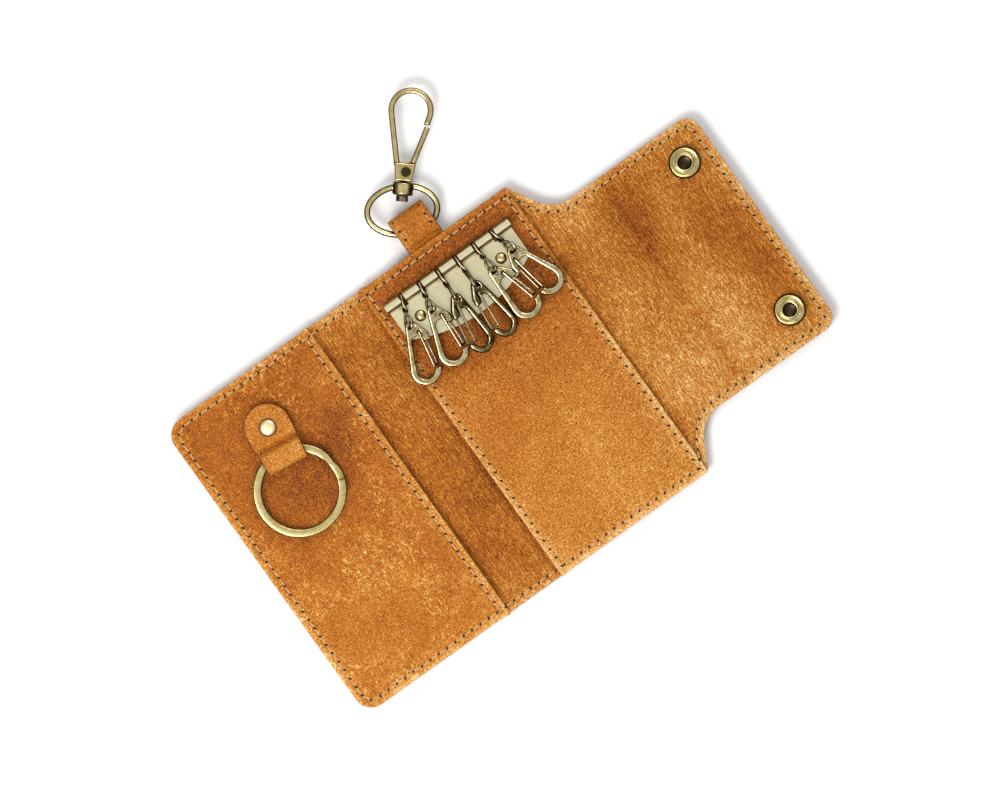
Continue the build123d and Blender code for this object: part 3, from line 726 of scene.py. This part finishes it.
# Name; palest colour, colour of the body, and colour of the painted shade on side walls and in
# occluded hollows; roughness, patina, strength of the painted side shade, brushing.
BRASS, HOOK_BRASS, PALE_BRASS, RIVET_BRASS, PAINTED_SHADE_METAL, BRONZE, WIRE, STEEL = (
    metal(name, srgb(*bright), srgb(*body), srgb(*shadow), *finish)
    for name, bright, body, shadow, finish in (
        ("antique_brass", (255, 236, 172), (176, 150, 84), (14, 10, 5), (0.24, 0.8, 1.05)),
        ("hook_brass", (255, 240, 190), (150, 124, 72), (6, 4, 2), (0.2, 1.0, 1.2)),
        ("pale_brass", (255, 248, 212), (252, 236, 184), (96, 74, 36), (0.26, 0.3, 0.9, 0.35)),
        ("rivet_brass", (250, 234, 188), (214, 194, 140), (60, 46, 24), (0.42, 0.3, 0.8)),
        # Socket well metal is near-black: painted shade, for the snap sockets' wells and the clip's
        # gate pin.
        ("socket_well", (96, 82, 56), (30, 24, 15), (5, 4, 3), (0.3, 0.5, 0.6)),
        ("dark_bronze", (206, 188, 150), (86, 72, 50), (10, 8, 5), (0.28, 0.9, 0.7)),
        ("gate_wire", (224, 210, 176), (124, 110, 84), (14, 11, 8), (0.26, 0.7, 0.7)),
        ("spring_steel", (214, 208, 196), (138, 130, 116), (40, 36, 30), (0.3, 0.3, 0.5)),
    )
)


# ---------------------------------------------------------------- leather sheets
CUTS = (LEFT_X, -39.0, 0.0, 42.5, RIGHT_X)
SEGMENTS = ("left", "left_spine", "right_spine", "flap")
STANDS_FOR = (
    ("left_panel", "left_spine"),
    ("centre_panel",),
    ("right_spine",),
    ("flap",),
)


def bend_at_fold(obj):
    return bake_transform(obj)


def body_sheets():
    for index, (segment, stands_for) in enumerate(zip(SEGMENTS, STANDS_FOR)):
        first, last = index == 0, index == len(SEGMENTS) - 1
        columns = spread(CUTS[index], CUTS[index + 1], first, last, CORNER_R, FLAP_CORNER_R)
        for kind, top, low, tone, materials in (
            ("cover", layer_line, cover_low, cover_tone, (LEATHER_COVER, EDGE, LEATHER_COVER)),
            ("lining", lining_top, layer_line, lining_tone, (LEATHER_LINING, EDGE, FLESH)),
        ):
            sheet = slab(f"{kind}_skin_{segment}", columns, top, low, tone, materials)
            bend_at_fold(sheet)
            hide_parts(*[f"{kind}_{panel}" for panel in stands_for])


def pocket_sheets():
    columns = spread(LEFT_X, CARD_EDGE_X, True, True, CORNER_R)
    sheet = slab(
        "card_pocket_skin",
        columns,
        card_top,
        card_low,
        card_tone,
        (LEATHER_CARD, EDGE, FLESH),
        grow=lambda x: 0.45 * smooth(CARD_EDGE_X - 3.5, CARD_EDGE_X - 0.8, x),
    )
    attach(sheet, "left_panel")
    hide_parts("card_pocket")
    columns = spread(-CENTRE_EDGE_X, CENTRE_EDGE_X, True, True)
    sheet = slab(
        "centre_pocket_skin",
        columns,
        centre_top,
        centre_low,
        centre_tone,
        (LEATHER_CENTRE, EDGE, FLESH),
        grow=lambda x: 0.4 * smooth(-CENTRE_EDGE_X + 3, -CENTRE_EDGE_X + 0.8, x),
    )
    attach(sheet, "centre_panel")
    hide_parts("centre_pocket")


# ---------------------------------------------------------------- stitches
PITCH = 3.3
THREAD_R = 0.23
# Half length, half width and slant of a needle hole.
HOLE_LONG = 0.60
HOLE_SHORT = 0.36
HOLE_TURN = 0.85


def walk(points, spaces):
    """Evenly spaced points along a line; spaces gives their number from its length."""
    steps = np.linalg.norm(np.diff(points, axis=0), axis=1)
    along = np.concatenate([[0], np.cumsum(steps)])
    places = np.linspace(0, along[-1], spaces(along[-1]) + 1)
    return np.stack([np.interp(places, along, points[:, k]) for k in (0, 1)], -1)


def stitch_mesh(starts, ends, radius=THREAD_R, lift=0.13, outward=1.0):
    """Threads between needle holes, given as rows of x, y, z."""
    rings, sides = 9, 7
    t = np.linspace(0, 1, rings)
    run = ends - starts
    ahead = unit(run)
    side = unit(np.stack([-ahead[:, 1], ahead[:, 0], np.zeros(len(run))], -1))
    up = np.cross(ahead, side) * outward
    slant = 0.16 * (t - 0.5)
    rise = (lift + 0.22) * np.sin(math.pi * t) ** 0.45 - 0.22
    centre = (
        starts[:, None]
        + run[:, None] * (0.06 + 0.88 * t)[None, :, None]
        + side[:, None] * slant[None, :, None]
        + up[:, None] * rise[None, :, None]
    )
    girth = radius * (0.55 + 0.45 * np.sin(math.pi * t) ** 0.5)
    angle = around(sides)
    ring = (
        side[:, None, None] * np.cos(angle)[None, None, :, None] * 1.15
        + up[:, None, None] * np.sin(angle)[None, None, :, None]
    )
    verts = centre[:, :, None] + ring * girth[None, :, None, None]
    base = np.arange(len(starts))[:, None, None] * rings * sides
    faces = (base[..., None] + ring_faces(rings, sides).reshape(1, -1, 1, 4)).reshape(-1, 4)
    return verts.reshape(-1, 3), faces


def hole_mesh(points, directions, outward=1.0):
    """Slanted needle holes as shallow dark ovals at the given points: painted shade standing for the
    open holes.
    """
    sides = 10
    angle = around(sides)
    level = np.zeros((len(points), 1))
    ahead = turned(np.hstack([directions, level]), HOLE_TURN, (0, 0))
    side = np.stack([-ahead[:, 1], ahead[:, 0], np.zeros(len(points))], -1)
    ring = (
        points[:, None]
        + ahead[:, None] * (HOLE_LONG * np.cos(angle))[None, :, None]
        + side[:, None] * (HOLE_SHORT * np.sin(angle))[None, :, None]
    )
    middle = points + np.array((0, 0, 0.05 * outward))
    verts = np.concatenate([middle[:, None], ring], 1).reshape(-1, 3)
    base = np.arange(len(points))[:, None, None] * (sides + 1)
    j = np.arange(sides)
    tri = np.stack([0 * j, 1 + j, 1 + (j + 1) % sides], -1)
    faces = (base + tri[None]).reshape(-1, 3)
    return verts, faces


def body_stitches():
    """Threads and needle holes of every seam, on both sides of the leather."""
    lines = [np.vstack([PERIMETER, PERIMETER[:1]])] + SEAMS
    rows = [walk(line, lambda length: int(round(length / PITCH))) for line in lines]
    jitter = np.random.default_rng(5)
    for side_name, outward, surface in (
        ("inside", 1.0, inside_top),
        ("outside", -1.0, cover_low),
    ):
        starts, ends, holes, ways = [], [], [], []
        for row in rows:
            row = row + jitter.normal(0, 0.05, row.shape)
            z = surface(row[:, 0], row[:, 1]) + 0.02 * outward
            points = np.column_stack([row, z])
            starts.append(points[:-1])
            ends.append(points[1:])
            holes.append(points + np.array((0, 0, 0.07 * outward)))
            ways.append(unit(np.gradient(row, axis=0)))
        starts, ends = np.concatenate(starts), np.concatenate(ends)
        holes, ways = np.concatenate(holes), np.concatenate(ways)
        for index, segment in enumerate(SEGMENTS):
            low, high = CUTS[index], CUTS[index + 1]
            middle = (starts[:, 0] + ends[:, 0]) / 2
            pick = (middle >= low) & (middle < high)
            threads = stitch_mesh(starts[pick], ends[pick], outward=outward)
            bend_at_fold(build(f"stitches_{side_name}_{segment}", *threads, (THREAD,)))
            pick = (holes[:, 0] >= low) & (holes[:, 0] < high)
            marks = hole_mesh(holes[pick], ways[pick], outward)
            bend_at_fold(build(f"needle_holes_{side_name}_{segment}", *marks, (HOLE,)))


# ---------------------------------------------------------------- folded strips
def ribbon(path, halves, thickness, across=26):
    """Strip along a path in the plane of y and z, with rounded long edges."""
    path = np.asarray(path, float)
    ahead = unit(np.gradient(path, axis=0))
    normal = np.stack([-ahead[:, 1], ahead[:, 0]], -1)
    half_t = thickness / 2
    arc = np.linspace(-math.pi / 2, math.pi / 2, 7)[1:-1]
    u_top = np.linspace(-1, 1, across)
    section = [(u, 0.0, half_t) for u in u_top]
    section += [(1.0, math.cos(a) * half_t * 0.5, math.sin(a) * half_t) for a in arc[::-1]]
    section += [(u, 0.0, -half_t) for u in u_top[::-1]]
    section += [(-1.0, -math.cos(a) * half_t * 0.5, math.sin(a) * half_t) for a in arc]
    section = np.array(section)
    halves = np.broadcast_to(halves, (len(path),))
    inner = np.maximum(halves - half_t * 0.5, 0.02)
    x = section[None, :, 0] * inner[:, None] + section[None, :, 1]
    y = path[:, None, 0] + normal[:, None, 0] * section[None, :, 2]
    z = path[:, None, 1] + normal[:, None, 1] * section[None, :, 2]
    # Of the faces around the strip, the first are the outer side and each edge has five points.
    j = np.arange(len(section))
    edge_rows = (j >= across - 1) & (j < across + 5) | (j >= 2 * across + 4)
    inner_rows = (j >= across + 5) & (j < 2 * across + 4)
    kinds = np.tile(np.where(edge_rows, 1, np.where(inner_rows, 2, 0)), len(path) - 1)
    return np.stack([x, y, z], -1), ring_faces(len(path), len(section)), kinds


def smooth_path(points, step, round_off):
    """Evenly spaced points along a bent line, with its corners eased."""
    line = walk(np.asarray(points, float), lambda length: int(length / step))
    padded = np.pad(line, ((round_off, round_off), (0, 0)), mode="edge")
    weights = np.hanning(2 * round_off + 3)[1:-1]
    weights /= weights.sum()
    eased = np.stack([np.convolve(padded[:, k], weights, "valid") for k in (0, 1)], -1)
    eased[0], eased[-1] = line[0], line[-1]
    return eased


def tab_half(y):
    """Half the width of the key ring tab, round beyond its rivet."""
    circle = np.sqrt(np.maximum(TAB_R**2 - y**2, 0.0))
    straight = TAB_R + (TAB_END_HALF - TAB_R) * smooth(0, 1, np.clip(-y / TAB_LENGTH, 0, 1))
    return np.where(y > 0, circle, straight)


def turned(points, lean, place):
    """Points turned about z and moved to their place on the case."""
    cos, sin = math.cos(lean), math.sin(lean)
    x = points[..., 0] * cos - points[..., 1] * sin + place[0]
    y = points[..., 0] * sin + points[..., 1] * cos + place[1]
    return np.stack([x, y, points[..., 2]], -1)


def key_ring_tab():
    head = TAB_R - 0.02
    end = -TAB_LENGTH + 0.55
    head_steps = head * np.cos(np.linspace(0, math.pi / 2, 26))
    lower = [(y, 4.9) for y in head_steps] + [(-8.0, 4.88), (end + 0.8, 4.86)]
    tip = [(end + 0.25, 5.1), (end, 5.7), (end, 7.9), (end + 0.25, 8.5)]
    upper = [(end + 0.8, 8.78), (-9.4, 8.82), (-7.9, 8.3), (-6.3, 6.7), (-5.2, 6.14)]
    upper += [(y, 6.1) for y in head_steps[::-1]]
    flat = smooth_path(lower[25:] + tip + upper[:6], 0.2, 2)
    path = np.array(lower[:25] + flat.tolist() + upper[6:])
    keep = np.concatenate([[True], np.linalg.norm(np.diff(path, axis=0), axis=1) > 1e-3])
    path = path[keep]
    verts, faces, kinds = ribbon(path, tab_half(path[:, 0]), 1.15)
    x, y = verts[..., 0], verts[..., 1]
    verts[..., 2] += 0.05 * fractal(x + path[:, None, 1] * 3, y, 3.5, 3.5, 71)
    # Painted shade on the slope where the upper layer rises over the ring, and a painted highlight on
    # the strip beyond y -8.
    rise = np.exp(-(((path[:, 0] + 6.6) / 1.1) ** 2)) * (path[:, 1] > 6.0)
    shade = 0.54 - 0.16 * rise + 0.05 * (path[:, 0] < -8)
    tone = np.repeat(shade[:, None], verts.shape[1], 1)
    world = turned(verts, TAB_LEAN, TAB_RIVET)
    materials = (LEATHER_SMALL, EDGE, FLESH)
    tab = build("key_ring_tab_skin", world, faces, materials, kinds, tone.ravel())
    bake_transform(tab)
    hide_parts("key_ring_tab", "key_ring_tab_end")


def clip_strap():
    arc = np.linspace(math.pi / 2, -math.pi / 2, 15)
    turn = [(65.7 + 2.45 * math.cos(a), STRAP_MID_Z + 2.45 * math.sin(a)) for a in arc]
    path = [(45.0, 1.7), (56.2, 1.75), (57.3, 2.5), (58.6, 4.2), (60.0, 5.02), (63.0, 5.1)]
    path += turn + [(63.0, 0.12), (60.2, 0.12), (58.4, 0.5), (57.2, 1.0), (56.7, 1.25)]
    line = smooth_path(path, 0.2, 4)
    half = (STRAP_X[1] - STRAP_X[0]) / 2
    verts, faces, kinds = ribbon(line, half, 1.0)
    x, y = verts[..., 0], verts[..., 1]
    verts[..., 2] += 0.05 * fractal(x, y + line[:, None, 1] * 5, 3.0, 3.0, 72)
    verts[..., 0] += (STRAP_X[0] + STRAP_X[1]) / 2
    across = np.abs(x) / half
    # Painted highlight along both long edges; the flat run up to y 56 is darker.
    shade = 0.49 + 0.10 * smooth(0.8, 1.0, across) - 0.10 * smooth(59, 56, line[:, 0])[:, None]
    count = verts.shape[1]
    rows = len(line)
    caps = [list(range(count))[::-1], list(range((rows - 1) * count, rows * count))]
    faces = faces.tolist() + caps
    kinds = np.concatenate([kinds, [1, 1]])
    materials = (LEATHER_SMALL, EDGE, FLESH)
    strap = build("clip_strap_skin", verts, faces, materials, kinds, shade.ravel())
    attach(strap, "centre_panel")
    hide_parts("clip_strap")

    top = line[: int(np.argmax(line[:, 0]))]
    starts, ends, holes, ways = [], [], [], []
    for x_seam in (STRAP_X[0] + 1.6, STRAP_X[1] - 1.6):
        y_holes = np.linspace(57.6, 67.2, 4)
        z = np.interp(y_holes, top[:, 0], top[:, 1]) + 0.52
        points = np.column_stack([np.full(len(y_holes), x_seam), y_holes, z])
        starts.append(points[:-1])
        ends.append(points[1:])
        holes.append(points + np.array((0, 0, 0.08)))
        ways.append(np.tile((0.0, 1.0), (len(points), 1)))
    threads = stitch_mesh(np.concatenate(starts), np.concatenate(ends), 0.16, 0.07)
    stitches = build("stitches_strap", *threads, (THREAD,))
    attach(stitches, "centre_panel")
    ovals = hole_mesh(np.concatenate(holes), np.concatenate(ways))
    marks = build("needle_holes_strap", *ovals, (HOLE,))
    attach(marks, "centre_panel")


# ---------------------------------------------------------------- metal pieces
def lathe(profile, sides=72):
    """Points and faces of a profile of (radius, z) turned about the z axis."""
    profile = np.asarray(profile, float)
    angle = around(sides)
    x = profile[:, None, 0] * np.cos(angle)[None]
    y = profile[:, None, 0] * np.sin(angle)[None]
    z = np.repeat(profile[:, None, 1], sides, 1)
    return np.stack([x, y, z], -1).reshape(-1, 3), ring_faces(len(profile), sides)


def joined(parts):
    """One set of points and faces from several."""
    verts, faces, offset = [], [], 0
    for part_verts, part_faces in parts:
        verts.append(part_verts)
        faces.append(np.asarray(part_faces) + offset)
        offset += len(part_verts)
    return np.concatenate(verts), np.concatenate(faces)


def snap_sockets():
    """Pressed socket: rolled rim, flat ring with small pips, and a spring well."""
    base = INNER_Z
    profile = (
        (2.25, 0.35), (2.25, 0.9), (2.62, 1.2), (2.62, 1.7), (2.3, 1.95), (2.25, 2.2),
        (2.38, 2.36), (2.6, 2.4), (2.85, 2.34), (3.0, 2.16), (3.15, 2.1), (4.0, 2.08),
        (4.12, 2.12), (4.3, 2.26), (4.5, 2.3), (4.72, 2.2), (4.9, 1.9), (5.0, 1.5),
        (5.12, 1.2), (5.22, 0.8), (5.25, 0.4), (5.22, 0.05), (5.0, 0.0), (2.25, 0.0), (2.25, 0.35),
    )
    body = lathe([(r, z + base) for r, z in profile])
    pip = lathe([(0.24, 0.0), (0.22, 0.1), (0.12, 0.17), (0.01, 0.19)], 10)
    parts = []
    for y in (-SNAP_Y, SNAP_Y):
        shift = np.array((SNAP_X, y, 0))
        parts.append((body[0] + shift, body[1]))
        for angle in around(20):
            place = shift + (3.57 * math.cos(angle), 3.57 * math.sin(angle), base + 2.06)
            parts.append((pip[0] + place, pip[1]))
    sockets = build("snap_socket_shells", *joined(parts), (BRASS,))
    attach(sockets, "flap")
    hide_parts("snap_sockets")

    # The well gets the near-black metal: painted shade standing for the depth of the socket's hole.
    well = lathe([(r, z + base) for r, z in ((2.24, 2.1), (2.2, 0.6), (1.9, 0.42), (0.02, 0.42))])
    pair = joined([(well[0] + (SNAP_X, y, 0), well[1]) for y in (-SNAP_Y, SNAP_Y)])
    wells = build("snap_socket_wells", *pair, (PAINTED_SHADE_METAL,))
    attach(wells, "flap")


def tab_rivet():
    """Flat-topped rivet cap with a rolled edge."""
    points = np.array([vertex.co[:] for vertex in NODES["tab_rivet_cap"].data.vertices]) / MM
    low, high = points.min(0), points.max(0)
    middle, radius, height = (low + high) / 2, (high[0] - low[0]) / 2, high[2] - low[2]
    profile = (
        (0.98, 0.0), (1.0, 0.12), (0.93, 0.42), (0.80, 0.72), (0.66, 0.92), (0.50, 0.98), (0.02, 1.0),
    )
    verts, faces = lathe([(r * radius, z * height) for r, z in profile])
    place = (middle[0], middle[1], low[2])
    cap = build("tab_rivet_button", verts + place, faces, (RIVET_BRASS,))
    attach(cap, NODES["tab_rivet_cap"]["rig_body"])
    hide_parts("tab_rivet_cap")


# Degrees: where the wire starts, how far it winds, and where it steps down to the lower coil.
RING_START = -21
RING_TURNS = 684
RING_STEP = (314, 342)
COIL_RISE = 1.25


def split_ring():
    """Flat wire wound nearly twice, its upper end passing over the lower coil."""
    turned_by = np.linspace(0, RING_TURNS, 420)
    angle = np.radians(RING_START - turned_by)
    level = COIL_RISE * (0.5 - smooth(*RING_STEP, turned_by))
    # The wire narrows where it steps down.
    waist = np.exp(-(((turned_by - 333) / 11) ** 2))
    outer, inner = RING_OUTER, RING_OUTER - RING_BAND
    half_t, corner = RING_COIL_T / 2, 0.42
    mid, half_w = (outer + inner) / 2, RING_BAND / 2
    section = []
    for cx, cz, first in (
        (half_w - corner, half_t - corner, 0),
        (-half_w + corner, half_t - corner, 90),
        (-half_w + corner, -half_t + corner, 180),
        (half_w - corner, -half_t + corner, 270),
    ):
        for a in np.radians(np.linspace(first, first + 90, 6)):
            section.append((cx + corner * math.cos(a), cz + corner * math.sin(a)))
    section = np.array(section)
    radius = mid - 0.30 * waist[:, None] + section[None, :, 0] * (1 - 0.22 * waist[:, None])
    x = radius * np.cos(angle)[:, None]
    y = radius * np.sin(angle)[:, None]
    z = level[:, None] + section[None, :, 1] + 0.012 * fractal(x, y, 1.2, 1.2, 81)
    lift = y - mid
    y2 = mid + lift * math.cos(RING_TILT) - z * math.sin(RING_TILT)
    z2 = lift * math.sin(RING_TILT) + z * math.cos(RING_TILT)
    verts = np.stack([x + RING_CENTRE[0], y2 + RING_CENTRE[1], z2 + RING_MID_Z], -1)
    rows, count = x.shape
    faces = ring_faces(rows, count)[:, [0, 3, 2, 1]].tolist()
    faces += [list(range(count)), list(range((rows - 1) * count, rows * count))[::-1]]
    ring = build("split_ring_coil", verts, faces, (BRASS,))
    ring.data.set_sharp_from_angle(angle=math.radians(50))
    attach(ring, "key_ring")
    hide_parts("split_key_ring")


def softened(node, name, material, voxel=0.11, rounds=48, grow=0.0):
    """Cast piece: the machined node with every edge worn round, then swollen by grow."""
    mesh = NODES[node].data.copy()
    mesh.name = name
    mesh.transform(Matrix.Scale(1 / MM, 4))
    obj = placed(name, mesh)
    remesh = obj.modifiers.new("remesh", "REMESH")
    remesh.mode = "VOXEL"
    remesh.voxel_size = voxel * 1
    remesh.use_smooth_shade = True
    wear = obj.modifiers.new("wear", "SMOOTH")
    wear.factor = 0.5
    wear.iterations = rounds // 1
    fill = obj.modifiers.new("fill", "DISPLACE")
    fill.strength = grow
    fill.mid_level = 0.0
    graph = bpy.context.evaluated_depsgraph_get()
    cast = bpy.data.meshes.new_from_object(obj.evaluated_get(graph))
    obj.modifiers.clear()
    obj.data = cast
    cast.transform(Matrix.Scale(MM, 4))
    cast.materials.clear()
    cast.materials.append(material)
    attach(obj, NODES[node]["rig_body"])
    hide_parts(node)


def cast_pieces():
    """Hooks and clip parts, each worn as much as its size allows."""
    for number in range(1, 7):
        softened(f"key_hook_{number}", f"key_hook_cast_{number}", HOOK_BRASS)
    softened("clip_hook", "clip_hook_cast", BRASS, 0.14, 12, 0.02)
    softened("clip_gate", "clip_gate_cast", BRASS, 0.12, 6)
    softened("clip_ring", "clip_ring_cast", BRASS, 0.14, 3)


def tube(path, radius, sides=12):
    """Closed round wire along a loop of points."""
    ahead = unit(np.roll(path, -1, axis=0) - np.roll(path, 1, axis=0))
    normal = np.cross(ahead[0], (1.0, 0.2, 0.1))
    frames = []
    for direction in ahead:
        normal = normal - direction * (normal @ direction)
        normal /= np.linalg.norm(normal)
        frames.append(normal)
    frames = np.array(frames)
    across = np.cross(ahead, frames)
    angle = around(sides)
    ring = (
        frames[:, None] * np.cos(angle)[None, :, None]
        + across[:, None] * np.sin(angle)[None, :, None]
    )
    verts = path[:, None] + radius * ring
    count = len(path)
    # The last ring meets the first where their points come closest.
    mismatch = int(np.argmax(ring[0] @ frames[-1]))
    j = np.arange(sides)
    k = (j + 1) % sides
    last = (count - 1) * sides
    seam = np.stack([last + j, last + k, (k + mismatch) % sides, (j + mismatch) % sides], -1)
    return verts.reshape(-1, 3), np.concatenate([ring_faces(count, sides), seam])


LINK_WIRE_R = 0.47
LINK_TWISTS = np.radians((42, 42, 4, -12, 42, 42))
# Half widths of the upper and the lower loop, and how far the strands part where they cross.
LOOP_TOP = 1.45
LOOP_LOW = 1.62
CROSSING = 0.46


def twisted_link(number):
    """Wire bent into a figure of eight, its lower loop twisted against the upper one."""
    rod = np.array((ROD_X + ROD_PITCH * (number - 1), *ROD_YZ))
    along = np.array(LINK_HOLDS[number - 1]) - rod
    length = np.linalg.norm(along)
    along /= length
    upright = np.cross(along, (1.0, 0, 0))
    upright /= np.linalg.norm(upright)
    flat = np.cross(upright, along)
    t = around(96)
    middle = (length + LOOP_LOW - LOOP_TOP) / 2
    stretch = (length + LOOP_LOW + LOOP_TOP) / 2
    a = middle - stretch * np.cos(t)
    width = LOOP_TOP + (LOOP_LOW - LOOP_TOP) * smooth(0, length, a)
    shape = np.sin(2 * t)
    b = width * np.sign(shape) * np.abs(shape) ** 0.75
    strand = np.where(np.sin(t) > 0, 1.0, -1.0)
    near_cross = np.exp(-(((a - middle) / 1.4) ** 2))
    c = CROSSING * strand * near_cross
    twist = LINK_TWISTS[number - 1] * smooth(middle - 2.0, middle + 2.0, a)
    cos, sin = np.cos(twist)[:, None], np.sin(twist)[:, None]
    side = upright[None] * cos + flat[None] * sin
    depth = -upright[None] * sin + flat[None] * cos
    path = rod + along[None] * a[:, None] + side * b[:, None] + depth * c[:, None]
    link = build(f"hook_link_wire_{number}", *tube(path, LINK_WIRE_R), (BRONZE,))
    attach(link, f"link_{number}")
    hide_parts(f"hook_link_{number}")


def finish_metal():
    looks = {
        "hook_rail": PALE_BRASS,
        "rail_rod": BRONZE,
        "rail_rivets": BRASS,
        "tab_rivet_post": BRASS,
        "snap_socket_springs": STEEL,
        "snap_caps": BRASS,
        "snap_studs": BRASS,
        "snap_stud_posts": BRASS,
        "clip_swivel_pin": BRONZE,
        # The gate pin gets the near-black metal too: painted shade.
        "clip_gate_pin": PAINTED_SHADE_METAL,
        "clip_gate_spring": STEEL,
    }
    for number in range(1, 7):
        looks[f"hook_gate_{number}"] = WIRE
    for name, material in looks.items():
        mesh = NODES[name].data
        mesh.materials.clear()
        mesh.materials.append(material)
        mesh.polygons.foreach_set("use_smooth", np.full(len(mesh.polygons), True))
        mesh.set_sharp_from_angle(angle=math.radians(38))


# ---------------------------------------------------------------- studio
# Half the floor and the width of the view in metres, and the camera's turn in degrees.
FLOOR_HALF = 3.0
VIEW_WIDTH = 0.3215
CAMERA_TURN = -35.5
# Brightness of the surroundings from below the floor to overhead.
SKY_BANDS = ((0.0, 0.02), (0.25, 0.10), (0.48, 0.8), (0.70, 1.25), (0.90, 1.0), (1.0, 0.85))


def studio():
    """Pale floor, soft light, and a camera straight above that sees the case at the photo's turn."""
    floor_material = bpy.data.materials.new("paper_floor")
    floor_material.use_nodes = True
    shader = floor_material.node_tree.nodes["Principled BSDF"]
    shader.inputs["Base Color"].default_value = (0.93, 0.93, 0.93, 1)
    shader.inputs["Roughness"].default_value = 0.9
    mesh = bpy.data.meshes.new("floor")
    half, z = FLOOR_HALF, FLOOR_Z * MM
    corners = [(-half, -half, z), (half, -half, z), (half, half, z), (-half, half, z)]
    mesh.from_pydata(corners, [], [(0, 1, 2, 3)])
    mesh.materials.append(floor_material)
    floor = placed("floor", mesh)

    world = bpy.data.worlds.new("studio")
    bpy.context.scene.world = world
    world.use_nodes = True
    nodes, links = world.node_tree.nodes, world.node_tree.links
    direction = nodes.new("ShaderNodeTexCoord")
    split = nodes.new("ShaderNodeSeparateXYZ")
    sky = nodes.new("ShaderNodeValToRGB")
    links.new(direction.outputs["Generated"], split.inputs[0])
    links.new(split.outputs["Z"], sky.inputs["Fac"])
    links.new(sky.outputs["Color"], nodes["Background"].inputs["Color"])
    nodes["Background"].inputs["Strength"].default_value = 0.62
    set_stops(sky.color_ramp, [(height, (level, level, level, 1)) for height, level in SKY_BANDS])

    for name, place, size, power in (
        ("key", (-0.42, -0.16, 0.66), 0.42, 5.6),
        ("fill", (0.45, 0.42, 0.60), 0.50, 1.8),
    ):
        light = bpy.data.lights.new(name, "AREA")
        light.energy = power
        light.size = size
        lamp = placed(name, light)
        lamp.location = place
        lamp.rotation_euler = (-Vector(place)).to_track_quat("-Z", "Y").to_euler()

    camera_data = bpy.data.cameras.new("camera")
    camera_data.type = "ORTHO"
    camera_data.ortho_scale = VIEW_WIDTH
    camera = placed("camera", camera_data)
    camera.location = (-0.0119, 0.0011, 0.6)
    camera.rotation_euler = (0, 0, math.radians(CAMERA_TURN))
    bpy.context.scene.camera = camera


body_sheets()
pocket_sheets()
body_stitches()
key_ring_tab()
clip_strap()
snap_sockets()
split_ring()
tab_rivet()
cast_pieces()
for hook_number in range(1, 7):
    twisted_link(hook_number)
finish_metal()
studio()
bpy.context.scene.view_settings.view_transform = "Standard"
